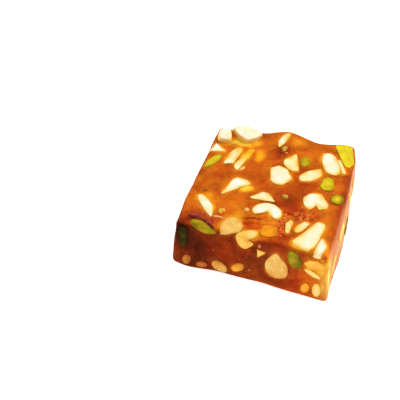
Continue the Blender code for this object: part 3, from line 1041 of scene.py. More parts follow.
NUTS = (
    # on the top, from the back to the front
    Nut("cashew_round", TOP, -25.7, 21.7, 8.8, 7.6, turn=95, rise=2.8, chops=((180, 3.0),
        (140, 3.3), (72, 3.0), (19, 2.3), (-91, 3.4))),
    Nut("cashew_long", TOP, -17.4, 25.0, 15.4, 10.6, rise=2.8, chops=((118, 4.9), (68, 4.1),
        (-31, 5.3), (-50, 4.8), (-119, 3.5), (-138, 3.8))),
    Nut("cashew_triangle", TOP, -27.1, 13.8, 8.8, 7.4, chops=((162, 2.1), (55, 1.7), (-79, 1.7))),
    Nut("pistachio_sliver", TOP, -26.7, 6.2, 10.4, 3.8, turn=66, tip=0.1, soak=0.22, rim=0.15),
    Nut("cashew_slice", TOP, -19.1, 11.5, 14.2, 6.6, turn=74, tip=-0.2, tail=-0.2,
        chops=((172, 2.2), (154, 2.4), (107, 5.3), (16, 3.7), (-13, 2.1), (-73, 4.8)), soak=0.06,
        fade=(70, 0.46)),
    Nut("cashew_strip", TOP, -15.3, 8.0, 9.8, 3.6, turn=75, chops=((158, 1.5), (94, 4.0),
        (-18, 1.3), (-143, 3.3)), soak=0.10, fade=(75, 0.36), rim=0.18),
    Nut("cashew_stick", TOP, -1.5, 25.2, 8.8, 3.0, turn=72, bend=25, soak=0.12),
    Nut("cashew_horned", TOP, 5.2, 12.6, 14.4, 10.0, turn=100, chops=((143, 3.6), (-172, 3.5),
        (-136, 3.2), (-117, 3.6), (-79, 4.9), (17, 2.6)), soak=0.06, fade=(45, 0.32)),
    Nut("cashew_lump", TOP, 2.2, 4.4, 13.0, 10.6, turn=110, tip=-0.2, tail=-0.2,
        chops=((-166, 3.8), (132, 5.6), (68, 4.6), (30, 4.0), (-10, 5.1), (-40, 5.3), (-89, 5.4),
        (-122, 4.9)), fade=(180, 0.10)),
    Nut("cashew_boat", TOP, 14.4, 7.8, 11.4, 5.8, turn=226, tip=0.1, chops=((14, 4.4),), soak=0.16,
        fade=(40, 0.14), rim=0.35),
    Nut("cashew_oval", TOP, 20.7, 16.4, 14.2, 7.0, turn=114, chops=((-87, 6.2), (26, 2.9)),
        fade=(-10, 0.12)),
    Nut("cashew_flake", TOP, 25.1, 15.7, 8.4, 3.6, turn=116, chops=((206, 0.7), (27, 0.7)),
        soak=0.16, rim=0.30),
    Nut("pistachio_corner", TOP, 25.2, 23.9, 17.2, 9.8, turn=108, chops=((117, 6.8), (91, 6.7),
        (14, 3.2), (-22, 5.8), (-111, 6.6), (-153, 2.6)), soak=0.13, rim=0.10),
    Nut("pistachio_block", TOP, 21.6, 4.3, 9.6, 6.6, turn=92, tip=-0.3, tail=-0.3,
        chops=((178, 2.4), (128, 3.7), (70, 3.7), (9, 2.4), (-30, 3.3), (-78, 3.7), (-138, 3.2)),
        soak=0.24, rim=0.08),
    Nut("pistachio_ring", TOP, 27.1, -3.2, 5.6, 5.2, turn=50, soak=0.46, heart=-0.28, rim=0.15),
    Nut("pistachio_bean", TOP, 10.1, 15.2, 5.8, 4.3, turn=95, chops=((-160, 1.9),), soak=0.35,
        rim=0.15),
    Nut("cashew_wing", TOP, -13.5, -5.4, 17.8, 10.2, turn=59, notch=0.62, chops=((167, 2.6),
        (143, 3.4), (84, 4.5), (58, 5.0), (-48, 2.4)), rim=0.40),
    Nut("cashew_half_moon", TOP, -1.0, -9.3, 11.4, 6.6, chops=((133, 2.7), (86, 2.7), (44, 2.7),
        (-88, 1.8)), fade=(200, 0.12), rim=0.36),
    Nut("cashew_crescent", TOP, 2.7, -14.9, 13.8, 5.5, turn=-7, bend=188, notch=0.30, tip=-0.2,
        tail=-0.2),
    Nut("cashew_kidney", TOP, 19.9, -7.0, 12.0, 9.8, notch=0.65, cleft=0.20, chops=((142, 5.9),
        (38, 3.4), (0, 4.4), (-68, 4.0), (-137, 5.2), (-159, 5.4)), fade=(-30, 0.10)),
    Nut("cashew_leaf", TOP, -21.4, -19.2, 13.4, 3.8, turn=-51, bend=28, tip=0.5, soak=0.07,
        rim=0.24),
    Nut("cashew_chip", TOP, 12.3, -22.4, 7.4, 3.8, turn=92, chops=((147, 2.0), (83, 3.2),
        (-1, 1.0), (-167, 1.3)), soak=0.20, fade=(160, 0.20), rim=0.26),
    Nut("cashew_petal", TOP, 17.1, -21.5, 7.6, 3.3, turn=60, chops=((86, 2.7), (-25, 1.4)),
        soak=0.13, fade=(230, 0.22), rim=0.26),
    Nut("cashew_big", TOP, 21.4, -25.9, 18.4, 12.6, turn=68, tail=-0.2, chops=((150, 3.5),
        (79, 9.2), (18, 6.2), (-8, 3.3), (-37, 4.9), (-93, 7.0), (-112, 7.1), (-137, 7.5)),
        fade=(185, 0.16)),
    # round the front edge
    Nut("cashew_cap", TOP, 26.1, -30.1, 11.2, 5.4, turn=82, chops=((175, 1.5), (163, 1.9),
        (35, 2.6), (-12, 1.7)), rim=0.30),
    Nut("pistachio_long", EDGE, -19.6, -6.6, 12.0, 5.2, turn=-15, chops=((173, 5.1), (92, 2.3),
        (66, 1.8), (-80, 2.6), (-105, 1.8), (-125, 2.3)), soak=0.40, rim=0.15),
    Nut("almond_block", EDGE, -9.2, -3.7, 11.0, 10.8, tip=-0.2, tail=-0.2, chops=((163, 3.8),
        (109, 3.4), (80, 3.5), (36, 4.2), (-18, 4.0), (-61, 3.0), (-76, 3.3), (-167, 3.8)),
        soak=0.30, rim=0.30, fade=(120, 0.16)),
    Nut("cashew_hook", EDGE, -2.1, -7.5, 11.0, 10.8, turn=90, notch=0.80, chops=((177, 4.1),
        (127, 3.6), (106, 3.6), (88, 4.3), (5, 4.5), (-49, 3.2), (-92, 3.7), (-133, 3.8),
        (-152, 3.7)), soak=0.36, heart=0.06, fade=(-70, 0.14), rim=0.20),
    Nut("cashew_gold", EDGE, 5.7, -2.3, 8.4, 6.0, chops=((175, 3.2), (113, 2.5), (70, 2.8),
        (20, 3.2), (-49, 2.7), (-83, 2.3), (-133, 3.0)), soak=0.78, rim=0.0, fade=(0, 0.06)),
    # on the front
    Nut("almond_drop", FRONT, 11.0, 12.6, 13.0, 9.0, turn=96, tip=0.7, tail=-0.2, taper=-0.15,
        soak=0.40, rim=0.18, fade=(-90, 0.10)),
    Nut("pistachio_stub", FRONT, 17.6, 18.9, 9.2, 5.3, turn=112, taper=-0.2, soak=0.50, rim=0.15),
    Nut("cashew_pair", FRONT, 25.3, 18.9, 9.2, 6.0, notch=0.2, chops=((139, 2.9), (104, 2.2),
        (67, 2.5), (7, 3.7), (-59, 2.5), (-150, 3.5)), soak=0.56, rim=0.10, fade=(-90, 0.12)),
    Nut("cashew_splinter", FRONT, 25.1, 14.2, 7.4, 2.5, turn=-28, soak=0.36, rim=0.24),
    Nut("cashew_tooth", FRONT, 27.4, 6.0, 7.0, 3.3, turn=94, soak=0.30, rim=0.30),
    Nut("cashew_nib", FRONT, 23.0, 5.5, 5.2, 3.2, turn=80, soak=0.66, rim=0.12),
    Nut("cashew_foot_left", FRONT, -24.9, 4.4, 4.6, 3.4, turn=68, soak=0.87, rim=0.10,
        fade=(90, 0.10)),
    Nut("cashew_foot_low", FRONT, -18.5, 3.5, 4.6, 2.6, turn=8, soak=0.94, rim=0.10,
        fade=(90, 0.08)),
    Nut("almond_foot", FRONT, -11.4, 4.2, 7.2, 4.8, turn=-36, soak=0.38, rim=0.20,
        fade=(100, 0.30)),
    Nut("cashew_foot_right", FRONT, -4.1, 6.4, 6.2, 3.7, turn=45, soak=0.50, rim=0.16,
        fade=(110, 0.40)),
    Nut("pistachio_upright", FRONT, -26.9, 14.7, 11.4, 3.7, turn=91, chops=((89, 5.2),), soak=0.98,
        rim=0.08),
    # on the right-hand face
    Nut("cashew_right_front", RIGHT, -23.0, 9.0, 9.0, 5.6, turn=25, chops=((120, 2.4), (-60, 1.8)),
        soak=0.46, rim=0.25),
    Nut("cashew_right_curl", RIGHT, -9.5, 14.5, 12.0, 4.6, turn=-15, bend=80, soak=0.46,
        rim=0.25),
    Nut("pistachio_right", RIGHT, 2.0, 6.0, 8.0, 5.0, turn=35, chops=((125, 1.9), (20, 3.6)),
        soak=0.50, rim=0.15),
    Nut("cashew_right_half", RIGHT, 13.5, 12.5, 11.4, 6.6, turn=160, chops=((70, 1.8), (10, 5.0)),
        soak=0.42, rim=0.25),
    Nut("almond_right", RIGHT, 24.5, 7.0, 9.0, 6.0, turn=70, tip=0.5, soak=0.50, rim=0.25),
    # on the back
    Nut("cashew_back_curl", BACK, -20.0, 11.0, 12.5, 5.4, turn=60, bend=70, soak=0.30),
    Nut("pistachio_back", BACK, -9.5, 6.0, 8.5, 5.2, turn=15, chops=((105, 1.8), (-170, 3.8)),
        soak=0.45, rim=0.20),
    Nut("almond_back", BACK, 2.0, 11.0, 12.0, 7.8, turn=110, tip=0.6, tail=-0.2, soak=0.42),
    Nut("cashew_back_half", BACK, 13.5, 6.0, 10.8, 6.0, turn=10, chops=((100, 2.6), (-78, 1.8)),
        soak=0.30),
    Nut("pistachio_back_high", BACK, 12.0, 15.5, 6.5, 4.0, turn=140, soak=0.35, rim=0.20),
    Nut("cashew_back_wedge", BACK, 22.5, 13.5, 9.4, 5.8, turn=70, chops=((140, 2.2), (5, 2.0),
        (-100, 3.8)), soak=0.24),
    # on the left-hand face
    Nut("cashew_left_curl", LEFT, -18.0, 11.5, 12.5, 5.0, turn=30, bend=60, soak=0.30),
    Nut("pistachio_left", LEFT, -6.0, 6.5, 8.0, 4.8, turn=150, chops=((60, 1.8), (-160, 3.4)),
        soak=0.45, rim=0.20),
    Nut("cashew_left_half", LEFT, 5.0, 13.5, 10.4, 6.6, turn=100, chops=((12, 1.5), (95, 4.6)),
        soak=0.24),
    Nut("cashew_left_drop", LEFT, 15.0, 6.0, 9.0, 4.4, turn=20, tip=0.5, soak=0.40),
    Nut("almond_left", LEFT, 23.5, 12.0, 9.5, 5.8, turn=75, tip=0.3, soak=0.40),
)


# A splinter of a nut, too small for a solid of its own
SHARD = Nut("cashew_shard", FRONT, 4.0, 17.0, 5.6, 5.6, chops=((82, 1.2), (-43, 1.1), (-174, 1.0)),
            soak=0.42, rim=0.24)


@dataclass(frozen=True)
class Sunk:
    """A nut that lies wholly under a face, and shows through the jelly. In mm."""

    face: Face
    right: float
    up: float
    length: float
    width: float
    turn: float
    cover: float = 0.5  # jelly over its highest point
    glow: float = 0.32  # how much lighter it makes the jelly over it
    thick: float = 2.4


SUNK = (
    Sunk(TOP, -8.5, 14.6, 10.0, 5.8, -75, 0.3, 0.38),
    Sunk(TOP, 4.7, 26.2, 7.6, 6.0, 18, 0.3, 0.20),
    Sunk(TOP, -8.8, -6.4, 7.0, 3.0, 23, 0.3, 0.50),
    Sunk(TOP, -13.4, 14.6, 10.0, 2.8, 70, 0.3, 0.44),
    Sunk(TOP, -17.0, 19.6, 13.0, 3.0, -8, 0.4, 0.40),
    Sunk(TOP, -11.0, 21.5, 5.0, 3.0, 40, 0.4, 0.34),
    Sunk(TOP, -28.8, -6.0, 9.0, 4.0, 80, 0.8),
    Sunk(TOP, -22.5, -14.0, 9.0, 5.0, 60, 1.0),
    Sunk(TOP, 25.0, -15.0, 9.0, 5.0, 70, 1.0),
    Sunk(RIGHT, -28.0, 12.0, 12.0, 6.0, 80, 0.8),
    Sunk(RIGHT, -5.0, 8.0, 11.0, 7.0, 20, 1.0),
    Sunk(RIGHT, 8.0, 17.0, 10.0, 6.0, -20, 1.0),
    Sunk(FRONT, 28.5, 15.0, 12.0, 4.0, 100, 0.5, 0.18),
    Sunk(BACK, -15.0, 16.0, 9.0, 6.0, 20, 0.8),
    Sunk(BACK, 8.0, 11.0, 10.0, 6.0, 130, 0.9),
    Sunk(LEFT, -12.0, 15.0, 10.0, 6.0, 60, 0.8),
    Sunk(LEFT, 11.0, 10.0, 10.0, 6.0, -30, 0.9),
)


def pebble(bm: bmesh.types.BMesh, place: Matrix, size: Vector, seed: float, rough: float,
           steps: int) -> list[bmesh.types.BMVert]:
    """Add a small uneven lump.

    Args:
        bm: The mesh to add to.
        place: Where its middle lies and how it is turned.
        size: Half of its length, width and thickness.
        seed: What makes it unlike the others.
        rough: How uneven it is.
        steps: How finely it is divided.

    Returns:
        Its points.
    """
    made = bmesh.ops.create_icosphere(bm, subdivisions=steps, radius=1.0)["verts"]
    lumps = Ripple(1.3, rough, (seed, 2.7 * seed, -seed))
    for vert in made:
        ball = vert.co * (1.0 + lumps.at(vert.co))
        vert.co = place @ Vector(value * side for value, side in zip(ball, size))
    return made


@dataclass
class SunkNuts:
    """All the nuts that lie under the skin, as one mesh."""

    square: HandCutSquare
    items: tuple[Sunk, ...] = SUNK
    soak: float = 0.30
    rough: float = 0.2
    steps: int = 4
    seed: float = 1.7
    points: list[Vector] = field(default_factory=list)
    glows: list[float] = field(default_factory=list)

    def build(self, material: bpy.types.Material) -> bpy.types.Object:
        """Make the piece.

        Args:
            material: The nuts' finish.

        Returns:
            The piece.
        """
        bm = bmesh.new()
        for number, item in enumerate(self.items):
            surface = self.square.on_face(item.face, item.right, item.up)
            place = item.face.seat(surface, item.turn, (item.cover + item.thick) * MM)
            size = Vector((item.length, item.width, item.thick * 2.0)) * MM / 2.0
            made = pebble(bm, place, size, self.seed + number, self.rough, self.steps)
            self.glows += [item.glow] * len(made)
        soak = bm.verts.layers.float.new("soak")
        for vert in bm.verts:
            vert[soak] = self.soak
            self.points.append(vert.co.copy())
        bm.normal_update()
        return new_piece("sunk_cashews", bm, material)


# ---------------------------------------------------------------------------
# Jelly
# ---------------------------------------------------------------------------


@dataclass
class Jelly:
    """The set halwa between the nuts."""

    square: HandCutSquare
    finish: JellyFinish = JellyFinish()
    # painted light and shade: lit top and right-hand face, darkest front, away from the light
    face_light_tones: dict[Face, float] = field(default_factory=lambda: {
        TOP: 0.51, FRONT: 0.23, RIGHT: 0.47, BACK: 0.40, LEFT: 0.34,
    })
    face_edge: int = 3  # how sharply the tone of a face gives way to the next one's
    shades: tuple[Shade, ...] = (
        # top: painted light and shade, lighter at its left and back, darker in hollows between
        # nuts
        Shade((-29.0, -18.0, 22.0), (6.0, 11.0, 6.0), 0.08),
        Shade((-18.0, -17.0, 22.0), (10.0, 6.0, 6.0), 0.10),
        Shade((-16.0, 21.5, 22.0), (9.0, 3.0, 6.0), 0.16),
        Shade((-22.0, 21.0, 22.0), (2.5, 3.0, 6.0), 0.14),
        Shade((-21.0, -1.0, 22.0), (5.0, 3.0, 6.0), -0.06),
        Shade((-28.8, -4.5, 22.0), (3.5, 9.0, 6.0), -0.11),
        Shade((-17.0, 3.0, 22.0), (5.0, 3.0, 6.0), 0.07),
        Shade((-27.5, 17.5, 22.0), (3.0, 2.0, 6.0), 0.16),
        Shade((-7.3, -20.5, 22.0), (3.0, 2.2, 6.0), 0.16),
        Shade((29.8, 0.0, 24.0), (2.2, 26.0, 3.0), -0.22),
        Shade((8.0, -9.5, 22.0), (6.0, 4.5, 6.0), -0.20),
        Shade((12.5, -23.5, 23.0), (7.0, 4.0, 6.0), -0.09),
        Shade((-0.9, 19.0, 22.0), (3.0, 6.0, 6.0), -0.22),
        Shade((13.6, -16.0, 22.0), (2.8, 1.6, 6.0), -0.26),
        Shade((11.7, -0.6, 22.0), (7.0, 5.0, 6.0), -0.07),
        Shade((15.0, 3.0, 23.0), (6.0, 2.0, 6.0), -0.10),
        Shade((14.5, 10.5, 23.0), (3.0, 2.0, 6.0), -0.12),
        Shade((9.8, 8.0, 23.0), (2.5, 3.0, 6.0), -0.14),
        Shade((25.0, 8.5, 23.0), (3.0, 3.0, 6.0), -0.06),
        Shade((15.5, -12.8, 23.0), (4.0, 1.8, 6.0), -0.08),
        Shade((16.5, -17.2, 23.0), (4.0, 2.0, 6.0), -0.16),
        Shade((12.0, -28.5, 23.0), (4.0, 2.4, 6.0), -0.14),
        Shade((10.5, -31.8, 24.6), (5.0, 2.6, 1.8), -0.16),
        Shade((8.5, -18.5, 22.0), (5.0, 2.0, 6.0), 0.10),
        Shade((4.0, -21.5, 22.0), (5.0, 3.0, 6.0), 0.12),
        Shade((-22.5, -26.2, 21.5), (5.0, 3.0, 4.0), -0.22),
        # front: painted shade at the left end, redder middle, painted amber glow at the right
        # corner
        Shade((-10.5, -31.8, 12.7), (7.0, 6.0, 6.0), 0.09),
        Shade((5.5, -31.8, 9.5), (5.0, 6.0, 4.0), 0.07),
        Shade((14.0, -32.2, 1.0), (10.0, 6.0, 2.0), 0.18),
        Shade((15.5, -32.2, 9.0), (3.0, 6.0, 3.0), 0.07),
        Shade((11.5, -32.5, 20.3), (5.0, 5.0, 2.8), 0.18),
        Shade((-19.5, -31.8, 10.5), (6.0, 6.0, 7.0), -0.13),
        Shade((-27.0, -31.8, 15.0), (3.5, 6.0, 8.0), -0.20),
        Shade((-28.5, -31.8, 20.0), (4.0, 5.0, 3.4), -0.28),
        Shade((0.6, -31.8, 22.0), (1.9, 4.0, 1.8), 0.40),
        Shade((6.5, -32.5, 22.4), (4.0, 2.2, 2.6), -0.03),
        Shade((0.0, -32.5, 2.0), (8.0, 6.0, 4.0), 0.08),
        Shade((19.0, -33.0, 12.0), (8.0, 6.0, 16.0), 0.14),
        Shade((30.5, -33.5, 10.0), (9.0, 4.0, 20.0), 0.34),
        Shade((27.2, -33.0, 18.5), (3.0, 3.0, 3.0), 0.30),
    )
    red: float = 0.46  # how red it is, from golden at 0 to 1
    blushes: tuple[Shade, ...] = (
        # redder beside the creases and between the nuts of the middle
        Shade((-3.0, -24.5, 22.0), (6.0, 2.2, 6.0), 0.42),
        Shade((12.0, -13.0, 22.0), (4.0, 3.0, 6.0), 0.50),
        Shade((14.0, 1.0, 23.0), (6.0, 3.0, 6.0), 0.30),
        Shade((9.0, -27.0, 22.0), (4.0, 4.0, 6.0), 0.50),
        Shade((20.0, -34.0, 8.0), (8.0, 6.0, 8.0), 0.40),
        Shade((-10.0, -32.0, 11.0), (7.0, 6.0, 6.0), 0.30),
        # golden at the left, the back and between two nuts; painted golden glow at the right-hand
        # side
        Shade((-27.0, -12.0, 22.0), (6.0, 12.0, 6.0), -0.14),
        Shade((7.0, 28.5, 23.0), (12.0, 4.0, 6.0), -0.38),
        Shade((-22.0, 20.5, 22.0), (3.0, 3.0, 6.0), -0.50),
        Shade((-7.3, -20.5, 22.0), (3.0, 2.2, 6.0), -0.45),
        Shade((31.5, 0.0, 11.0), (3.0, 40.0, 18.0), -0.40),
        Shade((30.0, -33.0, 11.0), (4.0, 4.0, 14.0), -0.40),
    )
    # the torn, crumbly streak in front of the crescent
    torn: Shade = Shade((11.0, -18.8, 23.0), (11.5, 4.8, 6.0), 1.0)
    painted_sheens: tuple[Shade, ...] = (
        # painted sheen: milkier and paler on the right-hand face, where the light falls
        Shade((32.5, 0.0, 9.5), (2.8, 45.0, 8.5), 0.26),
        Shade((30.5, -33.0, 8.0), (2.4, 4.0, 11.0), 0.16),
    )
    creases: tuple[Crease, ...] = (
        Crease((-7.0, -22.2), (2.5, -20.6), 0.55),
        Crease((-6.6, -24.6), (3.0, -23.2), 0.30, 0.35),
        Crease((-4.0, -26.8), (4.5, -25.0), 0.25, 0.35),
        Crease((-26.5, -26.8), (-14.5, -30.0), 0.60, 0.60),
    )
    crease_shade: float = 0.48  # painted shade: how much darker a crease is, for each mm of its depth
    torn_grain: Ripple = Ripple(620.0, 1.0)
    torn_tone: float = 0.30
    torn_height: float = 0.28 * MM
    slow_relief: Ripple = Ripple(240.0, 0.16 * MM, (4.2, 0.4, 9.3))
    fine_relief: Ripple = Ripple(700.0, 0.05 * MM, (1.1, 6.2, 0.9))
    knife_marks: Point = (700.0, 90.0, 0.05 * MM)  # to a metre across and up, and their height
    rim_dip: float = 0.12 * MM  # how far it has shrunk away from the edge of a nut
    rim_reach: float = 0.5 * MM
    halo: float = 0.09  # how much lighter it is beside a nut: thin jelly over it and a painted glow
    halo_patches: Ripple = Ripple(230.0, 0.34, (7.7, 2.2, 5.1))
    halo_reach: float = 0.95 * MM
    halo_gold: float = 0.36  # how much less red it is there, with the painted glow
    gold_reach: float = 1.1 * MM
    sunk_reach: float = 1.0 * MM
    sunk_gold: float = 1.1  # how much less red it is over a sunk nut, for the nut's glow

    def tone(self, place: Vector, normal: Vector) -> float:
        """How light the jelly is at a place, before its nuts are in it: painted light and shade.

        Args:
            place: A place on the skin.
            normal: The way out there.

        Returns:
            The tone, from 0 to 1.
        """
        total, weight = 0.0, 0.0
        for face, tone in self.face_light_tones.items():
            facing = max(0.0, normal.dot(face.out)) ** self.face_edge
            total += tone * facing
            weight += facing
        level = total / max(weight, 0.001)  # the foot faces none of them
        return level + sum(shade.at(place) for shade in self.shades)

    def relief(self, place: Vector, normal: Vector) -> float:
        """How far the cut left the skin off the smooth square.

        Args:
            place: A place on the skin.
            normal: The way out there.

        Returns:
            The height, below 0 for a hollow.
        """
        height = self.slow_relief.at(place) + self.fine_relief.at(place)
        if abs(normal.z) < SIDE:
            across, up, mark = self.knife_marks
            along = place.x * abs(normal.y) + place.y * abs(normal.x)
            height += mark * noise.noise(Vector((along * across, place.z * up, 2.0)))
        return height

    def build(self, kernels: list[Kernel], sunk: SunkNuts) -> bpy.types.Object:
        """Make the piece.

        Args:
            kernels: The nuts in its faces.
            sunk: The nuts under them.

        Returns:
            The piece, which stands for the halwa's node.
        """
        edges = tree_of([place for kernel in kernels for place in kernel.outline])
        haloes = [kernel.nut.halo for kernel in kernels for _ in kernel.outline]
        lumps = tree_of(sunk.points)
        bm = self.square.blank
        tones = bm.verts.layers.float.new("tone")
        reds = bm.verts.layers.float.new("red")
        painted_sheens = bm.verts.layers.float.new("milk_and_sheen")
        moved = []
        for vert in bm.verts:
            place, normal = vert.co.copy(), vert.normal.copy()
            height = self.relief(place, normal)
            tone = self.tone(place, normal)
            red = self.red + sum(blush.at(place) for blush in self.blushes)
            _, rim, far = edges.find(place)
            height -= self.rim_dip * falloff(far, self.rim_reach)
            # lighter beside a nut with a painted glow; painted shade where the patches take it
            # below 0
            halo = (self.halo + self.halo_patches.at(place)) * haloes[rim]
            tone += halo * falloff(far, self.halo_reach)
            red -= self.halo_gold * haloes[rim] * falloff(far, self.gold_reach)
            tear = self.torn.at(place) * self.torn_grain.at(place)
            tone += self.torn_tone * tear
            height += self.torn_height * tear
            _, lump, far = lumps.find(place)
            glow = sunk.glows[lump] * falloff(far, self.sunk_reach)
            tone += glow
            red -= self.sunk_gold * glow
            if normal.z > SIDE:
                groove = sum(crease.at(place) for crease in self.creases)
                height -= groove * MM
                # painted shade in the crease
                tone -= self.crease_shade * groove
            vert[tones] = tone
            vert[reds] = red
            vert[painted_sheens] = sum(milk_and_sheen.at(place) for milk_and_sheen in self.painted_sheens)
            if normal.z > -SIDE:
                moved.append((vert, place + normal * height * clamped(place.z / MM)))
        for vert, place in moved:
            vert.co = place
        bm.normal_update()
        piece = new_piece("halwa_jelly", bm, self.finish.material())
        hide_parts("halwa")
        return piece


# ---------------------------------------------------------------------------
# Small things
# ---------------------------------------------------------------------------


@dataclass(frozen=True)
class Crumb:
    """A small bit in a face: its place, size in mm and turn."""

    face: Face
    right: float
    up: float
    length: float
    width: float
    turn: float = 0.0


@dataclass(frozen=True)
class Trail:
    """Bits strewn at random along a line of places on a face, in mm."""

    face: Face
    line: tuple[Pair, ...]
    aside: float  # how far they stray to its sides
    count: int
    sizes: Pair  # the shortest and the longest
    seed: int
    slim: float = 0.65  # their width, for their length

    def crumbs(self) -> list[Crumb]:
        """Throw the bits evenly over the line's pieces.

        Returns:
            The bits.
        """
        dice = Random(self.seed)
        made = []
        for _ in range(self.count):
            step = dice.uniform(0.0, len(self.line) - 1.0001)  # just short of the last place
            start, end = self.line[int(step)], self.line[int(step) + 1]
            right, up = (a + (b - a) * (step % 1.0) for a, b in zip(start, end))
            right += dice.uniform(-self.aside, self.aside)
            up += dice.uniform(-self.aside, self.aside)
            length = dice.uniform(*self.sizes)
            turn = dice.uniform(0.0, 180.0)
            made.append(Crumb(self.face, right, up, length, length * self.slim, turn))
        return made


def all_over(count: int, side_count: int, seed: int) -> tuple[Trail, ...]:
    """Strew specks over the top and the sides.

    Args:
        count: How many lie on the top.
        side_count: How many lie on each side.
        seed: What sets how they fall on the top. The sides have the next one.

    Returns:
        One trail for each face.
    """
    fine = (0.35, 0.75)
    top, side = ((-2.0, 0.0), (2.0, 0.0)), ((-20.0, 11.5), (20.0, 11.5))
    return (
        Trail(TOP, top, 29.0, count, fine, seed),
        *(Trail(face, side, 10.0, side_count, fine, seed + 1)
          for face in (FRONT, RIGHT, BACK, LEFT)),
    )


@dataclass(frozen=True)
class Crumbs:
    """Small bits of one kind, as one mesh."""

    name: str
    slot: str
    finish: PlainFinish
    items: tuple[Crumb, ...] = ()
    trails: tuple[Trail, ...] = ()
    proud: float = 0.3  # share of its thickness that stands out of the face
    rough: float = 0.35
    steps: int = 3
    strewn_steps: int = 2
    seed: float = 0.9

    def build(self, square: HandCutSquare, nuts: KDTree) -> bpy.types.Object:
        """Make the piece.

        Args:
            square: What they lie in.
            nuts: The cut faces of the nuts, which strewn bits keep clear of.

        Returns:
            The piece.
        """
        bm = bmesh.new()
        strewn = [bit for trail in self.trails for bit in trail.crumbs()]
        for number, item in enumerate((*self.items, *strewn), 1):
            surface = square.on_face(item.face, item.right, item.up)
            steps = self.steps
            if number > len(self.items):
                steps = self.strewn_steps
                if surface is None or nuts.find(surface)[2] < 0.5 * item.length * MM:
                    continue
            size = Vector((item.length, item.width, item.width)) * MM / 2.0
            place = item.face.seat(surface, item.turn, size.z * (1.0 - 2.0 * self.proud))
            pebble(bm, place, size, self.seed + number, self.rough, steps)
        bm.normal_update()
        return new_piece(self.name, bm, self.finish.material())


SMALL_THINGS = (
    Crumbs(
        "crumbs_pale", "cashew",
        PlainFinish("pale_crumb", (0.88, 0.60, 0.20), (0.85, 0.42, 0.12)),
        (Crumb(TOP, -5.4, -17.7, 2.1, 2.0), Crumb(TOP, -13.5, 4.9, 3.7, 1.8, 60)),
    ),
    Crumbs(
        "crumbs_gold", "pistachio",
        PlainFinish("gold_crumb", (0.74, 0.46, 0.06), (0.60, 0.36, 0.04)),
        (Crumb(TOP, -14.6, -20.8, 3.3, 2.8, 50), Crumb(TOP, -20.7, 19.0, 3.8, 2.0, 30)),
    ),
    Crumbs(
        "crumbs_olive", "pistachio",
        PlainFinish("olive_crumb", (0.42, 0.26, 0.03), (0.62, 0.34, 0.06)),
        (Crumb(TOP, 0.2, 20.8, 3.6, 2.7, 90), Crumb(TOP, 7.2, -6.8, 3.3, 2.7, 10)),
    ),
    Crumbs(
        "crumbs_pink", "cashew",
        PlainFinish("pink_crumb", (0.86, 0.40, 0.18), (0.80, 0.30, 0.12)),
        (Crumb(TOP, -15.2, -24.1, 4.4, 1.0, 6), Crumb(TOP, 1.6, 18.5, 1.5, 1.0, 20)),
    ),
    Crumbs(
        "crumbs_rose", "cashew",
        PlainFinish("rose_crumb", (0.62, 0.160, 0.050), (0.50, 0.110, 0.035)),
        (Crumb(FRONT, 3.8, 20.1, 2.4, 1.4, 80), Crumb(FRONT, 0.7, 6.4, 1.2, 1.1)),
    ),
    Crumbs(
        "specks_dark", "halwa",
        PlainFinish("dark_speck", (0.16, 0.05, 0.015), (0.28, 0.08, 0.02)),
        (Crumb(TOP, -24.2, -11.6, 2.0, 0.7, 15),), all_over(26, 9, 5),
    ),
    # small proud specks whose light colour is a painted glint, over the top and the sides
    Crumbs(
        "specks_light", "cashew",
        PlainFinish("light_speck", (0.80, 0.34, 0.09), (0.76, 0.22, 0.04)),
        trails=all_over(46, 16, 1),
    ),
    Crumbs(  # in the torn streak
        "crumbs_soaked", "cashew",
        PlainFinish("soaked_crumb", (0.82, 0.32, 0.025), (0.70, 0.19, 0.012)),
        trails=(
            Trail(TOP, ((7.0, -17.6), (10.5, -18.0), (14.0, -17.8), (18.0, -15.6)), 1.6, 26,
                  (0.7, 1.6), 3),
        ), proud=0.20,
    ),
    Crumbs(  # bits of the jelly itself, torn up by the knife
        "crumbs_jelly", "halwa",
        PlainFinish("jelly_crumb", (0.70, 0.185, 0.014), (0.54, 0.090, 0.009)),
        trails=(
            Trail(TOP, ((6.2, -19.0), (11.0, -17.6), (15.0, -17.0), (20.0, -15.0)), 2.6, 80,
                  (0.7, 2.0), 13),
            Trail(TOP, ((8.6, -21.2), (9.6, -25.0), (11.0, -28.5)), 1.6, 30, (0.7, 1.8), 14),
        ), proud=0.20,
    ),
    Crumbs(  # beside the cut nuts of the front corner
        "crumbs_corner", "cashew",
        PlainFinish("corner_crumb", (0.88, 0.50, 0.07), (0.80, 0.28, 0.02)),
        trails=(
            Trail(FRONT, ((28.4, 20.8), (29.0, 18.5), (29.2, 15.0), (28.8, 11.0), (29.3, 6.0)),
                  1.2, 54, (0.8, 2.0), 4),
            Trail(FRONT, ((22.5, 16.0), (26.2, 11.5)), 1.0, 10, (0.8, 1.6), 11),
        ), proud=0.12,
    ),
    Crumbs(
        "nut_skins", "pistachio",
        PlainFinish("nut_skin", (0.46, 0.072, 0.018), (0.36, 0.036, 0.010)),
        trails=(
            Trail(TOP, ((-26.2, -25.0), (-23.2, -24.6), (-20.6, -25.0), (-18.2, -26.2),
                        (-16.8, -27.6)), 1.0, 60, (1.0, 2.2), 7, 0.45),
            Trail(FRONT, ((17.8, 22.6), (19.6, 21.6), (20.8, 19.6)), 0.6, 16, (0.8, 1.7), 8, 0.40),
        ),
    ),
    Crumbs(
        "skin_edges", "pistachio",
        PlainFinish("skin_edge", (0.10, 0.008, 0.004), (0.17, 0.02, 0.008)),
        trails=(
            Trail(TOP, ((-26.2, -26.3), (-23.2, -26.2), (-20.6, -26.6), (-18.2, -27.8),
                        (-15.0, -29.9)), 0.2, 90, (0.9, 1.5), 9, 0.4),
        ),
    ),
)


# ---------------------------------------------------------------------------
# Studio
# ---------------------------------------------------------------------------


